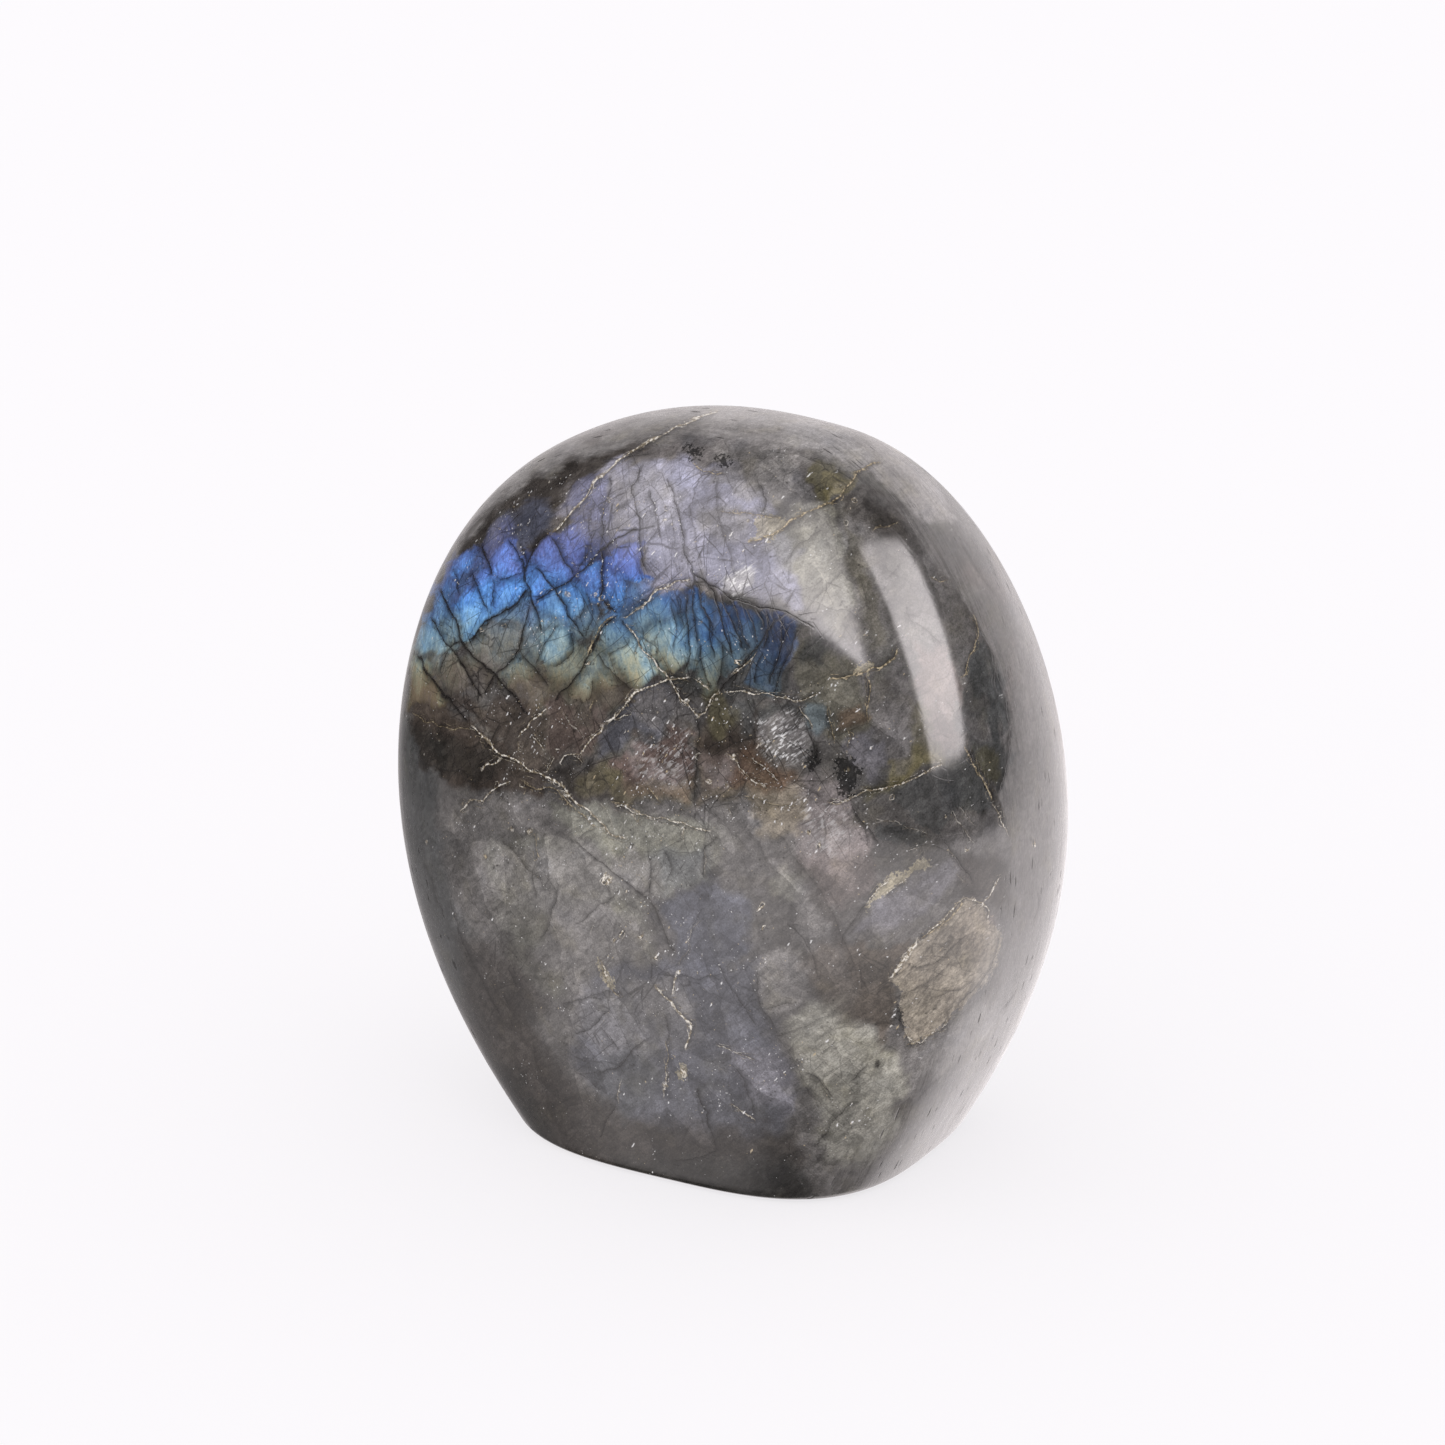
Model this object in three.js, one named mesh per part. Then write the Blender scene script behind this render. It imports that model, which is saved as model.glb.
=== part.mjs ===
// A polished, self-standing free form of labradorite: one stone, sawn flat at its foot.
// Millimetres, +Z up. The origin is the middle of the flat foot, +X is the broad right side,
// -Y is the broad front.
//
// The skin is a stack of horizontal sections. A section is four quarter superellipses that meet
// on the stone's own axes, so its right, left, front and back sides each have a profile of
// their own. A profile is half an ellipse's height curve times a cubic, which closes the top in
// a smooth crown and leaves the foot open for the saw cut. The stack is turned and leaned a
// little as it rises, the way the rough lump was ground.

import * as THREE from "three";
import { mergeVertices } from "three/addons/utils/BufferGeometryUtils.js";

// Overall height, from the foot to the crown.
const HEIGHT = 80;

// Heights, as shares of HEIGHT, at which the half widths are given.
const STATIONS = [0, 0.3, 0.6, 0.85];

// Half widths at those stations, from the stone's axis out to each side.
const RIGHT_HALF_WIDTHS = [21, 30.5, 30, 20.5];
const LEFT_HALF_WIDTHS = [24, 39.5, 42.5, 34.5];
const FRONT_HALF_WIDTHS = [19.5, 22, 22, 16];
const BACK_HALF_WIDTHS = [18.5, 24, 23, 16.5];

// Squareness of the sections: 2 is an ellipse, more is boxier.
const FOOT_SQUARENESS = 3.0;
const CROWN_SQUARENESS = 2.4;

// How far the top is turned, in degrees, and leaned, in millimetres, against the foot.
const TWIST = -12;
const LEAN_X = 7;
const LEAN_Y = -3.5;

// Radius of the eased edge round the saw cut.
const FOOT_EDGE = 0.8;

// Facets: points round a section, rows up the skin, and rows in the eased edge.
const POINTS_ROUND = 72;
const ROWS = 44;
const EDGE_ROWS = 3;

const STONE_COLOUR = 0x5f6a70;
const STONE_ROUGHNESS = 0.12;
const STONE_METALNESS = 0;

// The cubic through four values at the stations, in Lagrange's form.
function cubicThrough(values, share) {
  return values.reduce((sum, value, i) => {
    const weight = STATIONS.reduce(
      (product, station, j) =>
        (j === i ? product : product * (share - station) / (STATIONS[i] - station)),
      1,
    );
    return sum + value * weight;
  }, 0);
}

// The elliptical part of a profile: 1 at the foot, 0 at the crown.
function dome(share) {
  return Math.sqrt(Math.max(0, 1 - share * share));
}

// Half width of one side at a share of the height.
function halfWidth(halfWidths, share) {
  const swell = halfWidths.map((width, i) => width / dome(STATIONS[i]));
  return dome(share) * cubicThrough(swell, share);
}

// Distance from the axis to the skin in one direction of a section. The quarter that the
// direction falls in says which two half widths shape it.
function reach(share, direction) {
  const across = Math.cos(direction);
  const along = Math.sin(direction);
  const wide = halfWidth(across > 0 ? RIGHT_HALF_WIDTHS : LEFT_HALF_WIDTHS, share);
  const deep = halfWidth(along > 0 ? BACK_HALF_WIDTHS : FRONT_HALF_WIDTHS, share);
  const n = FOOT_SQUARENESS + (CROWN_SQUARENESS - FOOT_SQUARENESS) * share;
  return (Math.abs(across / wide) ** n + Math.abs(along / deep) ** n) ** (-1 / n);
}

// One point of the skin, drawn in by inset, then turned and leaned with its height.
function skinPoint(share, direction, inset) {
  const radius = reach(share, direction) - inset;
  const turned = direction + THREE.MathUtils.degToRad(TWIST) * share;
  return new THREE.Vector3(
    radius * Math.cos(turned) + LEAN_X * share ** 2,
    radius * Math.sin(turned) + LEAN_Y * share ** 2,
    HEIGHT * share,
  );
}

// The heights and insets of the rows: first the quarter round of the eased edge, then the skin.
// Rows crowd towards the crown as the sine does, so the facets there stay even.
function rows() {
  const list = [];
  for (let i = 0; i < EDGE_ROWS; i += 1) {
    const angle = (Math.PI / 2) * (i / EDGE_ROWS);
    const height = FOOT_EDGE * (1 - Math.cos(angle));
    list.push({ share: height / HEIGHT, inset: FOOT_EDGE * (1 - Math.sin(angle)) });
  }
  const first = Math.asin(FOOT_EDGE / HEIGHT);
  for (let i = 0; i < ROWS; i += 1) {
    const angle = first + (Math.PI / 2 - first) * (i / ROWS);
    list.push({ share: Math.sin(angle), inset: 0 });
  }
  return list;
}

// The closed stone: the rows as a net of quads, a fan to the crown and a flat fan on the foot.
function stoneGeometry() {
  const positions = [];
  const faces = [];
  const stack = rows();
  for (const { share, inset } of stack) {
    for (let i = 0; i < POINTS_ROUND; i += 1) {
      positions.push(...skinPoint(share, 2 * Math.PI * (i / POINTS_ROUND), inset));
    }
  }
  const crown = positions.length / 3;
  positions.push(LEAN_X, LEAN_Y, HEIGHT);
  const footCentre = crown + 1;
  positions.push(0, 0, 0);
  const lastRow = (stack.length - 1) * POINTS_ROUND;
  for (let i = 0; i < POINTS_ROUND; i += 1) {
    const next = (i + 1) % POINTS_ROUND;
    for (let row = 0; row < lastRow; row += POINTS_ROUND) {
      const above = row + POINTS_ROUND;
      faces.push(row + i, row + next, above + next);
      faces.push(row + i, above + next, above + i);
    }
    faces.push(lastRow + i, lastRow + next, crown);
    faces.push(next, i, footCentre);
  }
  const geometry = new THREE.BufferGeometry();
  geometry.setAttribute("position", new THREE.Float32BufferAttribute(positions, 3));
  geometry.setIndex(faces);
  return mergeVertices(geometry);
}

// The stone: grey feldspar, ground and polished all over.
function labradoriteStone() {
  const geometry = stoneGeometry();
  geometry.computeVertexNormals();
  const material = new THREE.MeshStandardMaterial({
    color: STONE_COLOUR,
    roughness: STONE_ROUGHNESS,
    metalness: STONE_METALNESS,
  });
  const mesh = new THREE.Mesh(geometry, material);
  mesh.name = "labradorite_stone";
  return mesh;
}

const labradorite = new THREE.Group();
labradorite.name = "polished_labradorite";
labradorite.add(labradoriteStone());

export default labradorite;
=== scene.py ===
import math

import bpy
import numpy as np
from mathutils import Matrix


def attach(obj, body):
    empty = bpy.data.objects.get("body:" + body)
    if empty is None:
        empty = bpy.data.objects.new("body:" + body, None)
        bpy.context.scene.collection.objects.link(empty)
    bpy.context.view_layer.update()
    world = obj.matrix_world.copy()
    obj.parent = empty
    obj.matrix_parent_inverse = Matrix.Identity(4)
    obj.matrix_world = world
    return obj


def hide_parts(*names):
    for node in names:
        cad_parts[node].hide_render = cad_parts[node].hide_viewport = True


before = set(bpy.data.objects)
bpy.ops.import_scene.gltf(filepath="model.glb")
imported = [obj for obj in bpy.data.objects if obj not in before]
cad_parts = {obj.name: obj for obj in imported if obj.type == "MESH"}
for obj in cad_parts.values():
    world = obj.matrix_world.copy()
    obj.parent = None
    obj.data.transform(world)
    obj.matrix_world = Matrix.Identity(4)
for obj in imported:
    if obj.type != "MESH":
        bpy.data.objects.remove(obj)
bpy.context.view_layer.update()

MM = 0.001

# The stone's form, in millimetres, the same driving sizes as the construction model.
HEIGHT = 80.0
STATIONS = (0.0, 0.3, 0.6, 0.85)
RIGHT_HALF_WIDTHS = (21.0, 30.5, 30.0, 20.5)
LEFT_HALF_WIDTHS = (24.0, 39.5, 42.5, 34.5)
FRONT_HALF_WIDTHS = (19.5, 22.0, 22.0, 16.0)
BACK_HALF_WIDTHS = (18.5, 24.0, 23.0, 16.5)
FOOT_SQUARENESS = 3.0
CROWN_SQUARENESS = 2.4
TWIST = math.radians(-12.0)
LEAN = (7.0, -3.5)
FOOT_EDGE = 0.8

# The skin is drawn in by this much, so its smooth bulge stays inside the faceted model.
DRAWN_IN = 0.05

# Points round the stone, rows up its skin, rows in the eased edge and rings on the foot.
ROUND = 400
SKIN_ROWS = 226
EDGE_ROWS = 5
FOOT_RINGS = 7
CROWDING = 0.28

# The viewpoint: turned to the right of the broad front, a little above it.
VIEW_AZIMUTH = math.radians(28.7)
VIEW_ELEVATION = math.radians(21.47)
VIEW_DISTANCE = 660.0
VIEW_TARGET = np.array((0.0, 0.0, 40.0))
PHOTO_SIDE = 1445.0
PIXELS_PER_MM = 9.507
TARGET_PIXEL = (756.8, 768.1)
SENSOR = 36.0
CLIP_END = 20.0

# Mineral colours of the body, linear.
GRAPHITE = (0.022, 0.021, 0.019)
SOOT = (0.050, 0.043, 0.038)
SLATE = (0.066, 0.067, 0.066)
ASH = (0.105, 0.098, 0.093)
DOVE = (0.150, 0.140, 0.136)
FOG = (0.225, 0.212, 0.203)
SAGE = (0.200, 0.196, 0.165)
PALE_SAGE = (0.280, 0.268, 0.232)
MOSS = (0.095, 0.085, 0.050)
OLIVE = (0.150, 0.130, 0.070)
UMBER = (0.100, 0.083, 0.068)
RUST = (0.130, 0.075, 0.045)
PLUM = (0.165, 0.128, 0.116)
BLUSH = (0.270, 0.238, 0.232)
PEARL = (0.430, 0.415, 0.415)
BRONZE = (0.265, 0.228, 0.178)
LAVENDER = (0.180, 0.172, 0.190)
BLUE_SLATE = (0.095, 0.096, 0.112)
TEAL_GREY = (0.120, 0.145, 0.155)
SATIN_GREY = (0.275, 0.258, 0.250)
DRAB = (0.130, 0.122, 0.098)
FLAKE_GOLD = (0.330, 0.290, 0.205)
MAROON = (0.118, 0.086, 0.076)
EARTH = (0.056, 0.044, 0.036)
POCKET = (0.070, 0.071, 0.070)
INK = (0.012, 0.012, 0.012)
HAZE = (0.246, 0.242, 0.304)
PERIWINKLE = (0.260, 0.262, 0.350)
DUSK = (0.074, 0.080, 0.112)

# Areas of the photographed side, laid on in this order: colour, strength, softness of the edge
# and corners, the last two in photo pixels. Besides the minerals' own colours, they carry painted
# shading of the form, darker towards the lower left and the foot.
AREAS = (
    (ASH, 1.0, 30, ((400, 780), (1000, 800), (960, 1200), (500, 1200))),
    (SLATE, 0.9, 14, ((390, 700), (432, 760), (450, 860), (478, 960), (530, 1090), (560, 1170),
        (380, 1170))),
    (SOOT, 0.8, 22, ((455, 930), (520, 960), (545, 1040), (600, 1130), (720, 1175), (820, 1190),
        (560, 1200), (470, 1050))),
    (SAGE, 0.6, 16, ((486, 838), (530, 832), (575, 846), (604, 868), (648, 905), (652, 955), (600, 985),
        (550, 1000), (512, 960), (498, 910), (484, 880))),
    (FOG, 0.6, 14, ((500, 850), (560, 846), (592, 852), (618, 880), (606, 920), (560, 925), (510, 925))),
    (ASH, 0.7, 12, ((440, 850), (486, 866), (508, 905), (512, 940), (480, 950), (452, 900))),
    (DRAB, 0.5, 12, ((512, 905), (580, 925), (600, 980), (560, 1000), (524, 960))),
    (SAGE, 0.9, 10, ((552, 806), (620, 812), (690, 818), (745, 842), (735, 870), (700, 880), (650, 888),
        (604, 860), (575, 836))),
    (FOG, 0.75, 11, ((606, 852), (650, 848), (700, 850), (708, 876), (650, 889), (614, 880))),
    (TEAL_GREY, 0.35, 12, ((650, 846), (700, 846), (712, 880), (660, 886))),
    (DOVE, 0.8, 16, ((560, 905), (640, 915), (648, 960), (700, 1010), (640, 1030), (560, 1000),
        (530, 950))),
    (FOG, 0.45, 14, ((576, 910), (636, 908), (646, 950), (600, 960), (570, 940))),
    (FOG, 0.35, 10, ((496, 796), (540, 796), (556, 820), (520, 828), (496, 820))),
    (BLUE_SLATE, 0.95, 10, ((655, 895), (715, 880), (752, 905), (748, 950), (700, 985), (680, 962),
        (664, 928))),
    (BLUE_SLATE, 0.8, 16, ((590, 975), (660, 960), (757, 965), (770, 1030), (803, 1085), (780, 1135),
        (690, 1150), (610, 1110), (570, 1050))),
    (LAVENDER, 0.6, 16, ((730, 1050), (772, 1046), (800, 1078), (792, 1108), (750, 1096))),
    (FOG, 0.5, 12, ((626, 984), (670, 976), (700, 1000), (690, 1022), (640, 1018))),
    (FOG, 0.3, 14, ((560, 980), (690, 985), (700, 1046), (600, 1056), (560, 1030))),
    (FOG, 0.3, 14, ((446, 806), (500, 800), (520, 850), (516, 900), (478, 900), (458, 850))),
    (FOG, 0.3, 12, ((540, 860), (600, 868), (600, 930), (560, 940), (530, 900))),
    (SLATE, 0.5, 14, ((590, 1056), (650, 1050), (664, 1096), (624, 1124), (592, 1104))),
    (SOOT, 0.5, 14, ((500, 940), (540, 948), (548, 1010), (520, 1000))),
    (DOVE, 0.9, 14, ((720, 838), (768, 842), (790, 872), (770, 900), (722, 876))),
    (ASH, 0.9, 12, ((750, 890), (830, 900), (850, 950), (800, 952), (758, 960))),
    (PALE_SAGE, 0.75, 8, ((768, 878), (789, 870), (806, 884), (797, 898), (774, 898))),
    (FOG, 0.7, 12, ((757, 958), (800, 948), (812, 975), (800, 1003), (770, 1014), (756, 990))),
    (PALE_SAGE, 0.98, 11, ((778, 1022), (812, 1008), (845, 1002), (868, 1035), (904, 1058), (912, 1092),
        (868, 1112), (828, 1108), (806, 1080), (795, 1048))),
    (PALE_SAGE, 0.76, 14, ((824, 1100), (880, 1100), (900, 1130), (870, 1160), (826, 1160), (818, 1130))),
    (FOG, 0.5, 10, ((790, 884), (818, 890), (838, 920), (826, 940), (800, 930))),
    (UMBER, 0.65, 14, ((800, 955), (838, 948), (862, 985), (880, 1040), (850, 1020), (818, 1000))),
    (SOOT, 0.7, 7, ((766, 828), (786, 834), (806, 862), (828, 896), (846, 930), (858, 972), (838, 948),
        (812, 905), (782, 866))),
    # Dark mineral and painted shade together: the foot and the lower left.
    (GRAPHITE, 0.8, 14, ((470, 1040), (530, 1078), (600, 1112), (690, 1140), (780, 1150), (806, 1166),
        (812, 1200), (640, 1220), (500, 1160), (440, 1080))),
    (SOOT, 0.85, 20, ((470, 980), (520, 1010), (560, 1080), (640, 1120), (800, 1130), (800, 1160),
        (560, 1160))),
    (BLUSH, 0.70, 7, ((778, 790), (822, 772), (852, 802), (872, 848), (840, 872), (806, 868), (792, 835))),
    (PLUM, 0.4, 12, ((800, 856), (868, 846), (880, 880), (850, 912), (822, 892))),
    (ASH, 0.8, 5, ((850, 802), (884, 789), (950, 764), (978, 768), (990, 800), (1008, 846), (966, 850),
        (940, 838), (925, 852), (872, 852))),
    (ASH, 0.7, 8, ((942, 824), (962, 806), (984, 806), (1004, 846), (975, 866), (944, 850))),
    (ASH, 0.9, 8, ((856, 930), (878, 900), (905, 872), (950, 850), (1002, 850), (1008, 900), (958, 902),
        (915, 945), (880, 952))),
    (LAVENDER, 0.6, 8, ((862, 924), (884, 896), (915, 880), (955, 862), (968, 872), (930, 905),
        (880, 932))),
    (UMBER, 0.9, 8, ((842, 944), (908, 942), (888, 978), (896, 1000), (880, 1046), (866, 1020),
        (852, 982))),
    (GRAPHITE, 0.5, 9, ((868, 958), (890, 955), (884, 985), (868, 985))),
    (DOVE, 0.6, 8, ((942, 812), (962, 806), (990, 808), (1006, 840), (992, 858), (950, 850))),
    (SOOT, 0.95, 12, ((960, 860), (1006, 854), (1008, 902), (972, 908))),
    (GRAPHITE, 0.9, 8, ((945, 766), (966, 750), (980, 775), (992, 800), (980, 812), (956, 806),
        (944, 790))),
    (DOVE, 0.85, 10, ((1004, 560), (1012, 700), (1016, 800), (1012, 900), (1006, 960), (980, 1040),
        (930, 1120), (880, 1200), (1090, 1200), (1090, 560))),
    (FOG, 0.4, 10, ((930, 938), (952, 934), (958, 952), (935, 962), (925, 950))),
    (PLUM, 0.5, 12, ((966, 905), (986, 908), (998, 940), (975, 960), (955, 940))),
    (PALE_SAGE, 0.35, 12, ((902, 1000), (935, 995), (930, 1020), (908, 1022))),
    (FOG, 0.7, 10, ((905, 1050), (950, 1020), (985, 1000), (990, 1030), (930, 1080), (914, 1100))),
    # Dark body under the flash, which also serves as painted shade in the gaps between its cells.
    (SOOT, 0.8, 9, ((418, 660), (446, 590), (480, 545), (545, 535), (600, 550), (650, 596), (700, 586),
        (800, 622), (780, 700), (700, 692), (600, 704), (540, 700), (480, 690), (430, 702))),
    (SLATE, 0.8, 8, ((640, 612), (700, 588), (760, 608), (800, 622), (784, 696), (700, 694), (668, 680),
        (646, 650))),
    (ASH, 0.75, 8, ((424, 664), (450, 650), (468, 642), (520, 640), (540, 660), (552, 690), (532, 716),
        (480, 700), (440, 696))),
    (SLATE, 0.7, 8, ((545, 640), (600, 610), (640, 620), (650, 650), (640, 690), (600, 706), (556, 700))),
    (DOVE, 0.85, 6, ((500, 618), (514, 606), (532, 602), (536, 622), (524, 655), (506, 668), (482, 656),
        (484, 630))),
    (DRAB, 0.9, 10, ((545, 690), (600, 650), (612, 690), (620, 720), (590, 745), (560, 760), (530, 740))),
    (EARTH, 0.95, 7, ((413, 702), (440, 696), (476, 728), (510, 756), (500, 790), (470, 792), (446, 782),
        (424, 764), (412, 738))),
    (EARTH, 0.85, 8, ((446, 690), (480, 700), (528, 702), (546, 716), (548, 740), (545, 765), (540, 792),
        (500, 790), (510, 756), (470, 716))),
    (MAROON, 0.8, 9, ((546, 700), (575, 698), (606, 712), (602, 734), (578, 752), (556, 760), (548, 736))),
    (DRAB, 0.4, 8, ((575, 700), (600, 705), (592, 730), (576, 726))),
    (GRAPHITE, 0.7, 9, ((414, 724), (440, 730), (452, 756), (440, 774), (422, 762), (412, 740))),
    (GRAPHITE, 0.6, 8, ((424, 736), (470, 742), (500, 762), (478, 786), (440, 772))),
    (UMBER, 0.6, 8, ((512, 740), (548, 742), (556, 770), (524, 764))),
    (SOOT, 0.8, 10, ((540, 770), (600, 760), (640, 790), (640, 804), (575, 806))),
    (OLIVE, 0.32, 9, ((578, 772), (610, 764), (622, 785), (598, 800), (575, 796))),
    (BLUE_SLATE, 0.8, 8, ((612, 712), (640, 690), (672, 682), (692, 706), (640, 738), (600, 760),
        (596, 738))),
    (DOVE, 0.75, 7, ((630, 712), (646, 697), (664, 684), (676, 690), (692, 708), (694, 722), (668, 720),
        (644, 726))),
    (MAROON, 0.95, 6, ((640, 742), (668, 728), (694, 724), (695, 760), (690, 798), (636, 796), (606, 770),
        (630, 752))),
    (BLUSH, 0.45, 7, ((656, 764), (684, 762), (682, 784), (660, 790), (648, 780))),
    (BLUSH, 0.35, 6, ((626, 750), (640, 746), (646, 766), (634, 774))),
    (OLIVE, 0.3, 7, ((600, 776), (650, 782), (694, 776), (694, 800), (610, 800))),
    (UMBER, 0.85, 8, ((698, 712), (738, 712), (770, 752), (802, 770), (790, 800), (698, 802))),
    (BRONZE, 0.35, 6, ((700, 770), (752, 764), (790, 786), (790, 800), (702, 800))),
    (PLUM, 0.6, 9, ((702, 752), (740, 756), (752, 784), (706, 790))),
    (EARTH, 0.75, 9, ((702, 720), (722, 720), (746, 742), (750, 758), (718, 756), (702, 746))),
    (BLUSH, 0.5, 7, ((706, 768), (722, 764), (738, 772), (734, 786), (712, 788))),
    (RUST, 0.6, 9, ((748, 752), (790, 776), (790, 796), (742, 794), (728, 776))),
    (FOG, 0.4, 9, ((700, 802), (760, 798), (800, 830), (792, 872), (700, 874))),
    (BRONZE, 0.9, 7, ((750, 792), (794, 788), (808, 812), (800, 836), (770, 838), (752, 812))),
    (MOSS, 0.8, 7, ((700, 690), (724, 690), (740, 716), (726, 742), (702, 720))),
    (SLATE, 0.8, 7, ((730, 698), (798, 704), (806, 716), (770, 716), (758, 730), (750, 744), (736, 722))),
    (SOOT, 0.8, 5, ((758, 704), (764, 702), (762, 730), (752, 746), (748, 736))),
    (DOVE, 0.9, 7, ((762, 724), (786, 712), (800, 722), (802, 750), (780, 762), (764, 744))),
    (ASH, 0.8, 9, ((780, 752), (826, 750), (826, 790), (796, 780))),
    (DRAB, 0.9, 7, ((800, 640), (822, 640), (856, 668), (868, 700), (866, 736), (830, 740), (806, 716),
        (796, 680))),
    (SLATE, 0.8, 6, ((804, 640), (824, 636), (832, 650), (822, 666), (806, 660))),
    (RUST, 0.5, 6, ((838, 706), (862, 704), (866, 722), (842, 728))),
    (TEAL_GREY, 0.9, 6, ((804, 702), (826, 700), (832, 726), (818, 742), (804, 724))),
    (DOVE, 0.9, 6, ((869, 682), (900, 660), (914, 690), (928, 752), (900, 764), (872, 724))),
    (LAVENDER, 0.7, 8, ((852, 738), (886, 734), (896, 764), (868, 774), (854, 760))),
    (GRAPHITE, 0.8, 4, ((806, 748), (818, 748), (818, 766), (808, 766))),
    (MOSS, 0.7, 7, ((868, 782), (905, 768), (930, 740), (946, 762), (905, 780), (866, 796))),
    (OLIVE, 0.8, 5, ((882, 780), (894, 766), (925, 754), (942, 756), (922, 772), (905, 781), (890, 785))),
    (DOVE, 0.5, 6, ((896, 700), (908, 700), (911, 768), (899, 768))),
    (MOSS, 0.6, 6, ((908, 700), (924, 700), (930, 752), (914, 766))),
    (PLUM, 0.6, 8, ((912, 640), (948, 650), (962, 715), (965, 745), (932, 752), (920, 690))),
    (SOOT, 0.95, 12, ((440, 585), (448, 562), (480, 520), (512, 490), (548, 468), (585, 452), (640, 442),
        (628, 454), (592, 476), (560, 488), (546, 534), (516, 552), (505, 512), (482, 546))),
    (DUSK, 0.85, 10, ((506, 520), (524, 504), (546, 500), (556, 514), (548, 530), (534, 544), (520, 552),
        (508, 540))),
    (HAZE, 0.55, 9, ((556, 512), (568, 490), (592, 474), (600, 480), (590, 500), (574, 516))),
    (HAZE, 0.92, 8, ((604, 470), (616, 460), (660, 458), (700, 462), (742, 470), (772, 500), (800, 560),
        (800, 608), (744, 596), (700, 575), (650, 596), (640, 540), (606, 545))),
    (DOVE, 0.4, 9, ((612, 480), (632, 478), (634, 530), (618, 540), (606, 530))),
    (PERIWINKLE, 0.8, 7, ((666, 468), (680, 470), (694, 480), (704, 490), (696, 496), (680, 490),
        (672, 482))),
    (PERIWINKLE, 0.5, 7, ((646, 530), (658, 536), (662, 560), (652, 574), (644, 560))),
    (PERIWINKLE, 0.7, 6, ((720, 478), (736, 476), (744, 484), (736, 492), (722, 490))),
    (PERIWINKLE, 0.45, 12, ((692, 545), (790, 550), (794, 590), (740, 592), (706, 570))),
    (FOG, 0.5, 9, ((700, 505), (745, 512), (750, 540), (716, 540), (700, 530))),
    (SAGE, 0.6, 12, ((752, 512), (800, 520), (844, 548), (850, 600), (812, 590), (772, 552))),
    # A painted highlight where the silky sheen is brightest.
    (PEARL, 0.75, 7, ((722, 580), (738, 568), (753, 568), (758, 592), (744, 598), (732, 592))),
    (PALE_SAGE, 0.7, 9, ((796, 506), (822, 500), (846, 540), (852, 600), (836, 636), (806, 606),
        (798, 560))),
    (FOG, 0.65, 8, ((712, 440), (760, 446), (792, 470), (786, 506), (742, 502), (714, 476))),
    (PEARL, 0.25, 10, ((632, 478), (664, 472), (676, 490), (676, 520), (652, 530), (636, 516))),
    (FOG, 0.75, 9, ((846, 486), (866, 498), (876, 560), (888, 620), (882, 652), (858, 650), (848, 590),
        (840, 530))),
    (FOG, 0.5, 9, ((776, 442), (840, 450), (872, 452), (850, 474), (812, 468), (786, 470))),
    (SOOT, 0.5, 6, ((802, 466), (818, 462), (826, 486), (816, 506), (804, 496))),
    (MOSS, 0.8, 6, ((812, 468), (834, 468), (848, 477), (842, 490), (818, 505), (806, 494))),
    (OLIVE, 0.9, 4, ((826, 476), (853, 474), (846, 487), (834, 497), (818, 506), (820, 490))),
    (FLAKE_GOLD, 0.45, 4, ((838, 478), (854, 474), (846, 487), (836, 495), (826, 500))),
    (MOSS, 0.45, 8, ((846, 520), (862, 540), (878, 600), (884, 644), (870, 652), (858, 600), (846, 560))),
    (SOOT, 0.6, 6, ((846, 484), (872, 494), (902, 514), (918, 538), (896, 546), (868, 534), (846, 506))),
    (ASH, 0.85, 8, ((900, 520), (918, 524), (944, 562), (960, 600), (972, 640), (956, 672), (940, 620),
        (912, 560))),
    (SLATE, 0.95, 5, ((964, 678), (982, 640), (996, 664), (1007, 712), (1008, 770), (998, 792), (976, 772),
        (966, 730))),
    (DOVE, 0.8, 7, ((966, 715), (984, 714), (992, 736), (974, 748))),
    (ASH, 0.7, 7, ((966, 690), (984, 686), (990, 706), (968, 712))),
    (MOSS, 0.6, 7, ((974, 752), (994, 748), (1002, 776), (992, 786), (980, 772))),
    (FOG, 0.95, 9, ((440, 580), (470, 520), (520, 476), (590, 438), (660, 412), (720, 400), (720, 436),
        (650, 440), (590, 454), (540, 472), (500, 500), (466, 540))),
    (DOVE, 0.7, 8, ((600, 440), (660, 418), (700, 410), (700, 440), (640, 446))),
    (SATIN_GREY, 1.0, 9, ((712, 400), (800, 400), (900, 440), (960, 520), (930, 522), (880, 486),
        (852, 462), (800, 452), (740, 446), (712, 430))),
    (PEARL, 0.35, 12, ((790, 420), (840, 430), (872, 456), (830, 455), (792, 444))),
)

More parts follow.
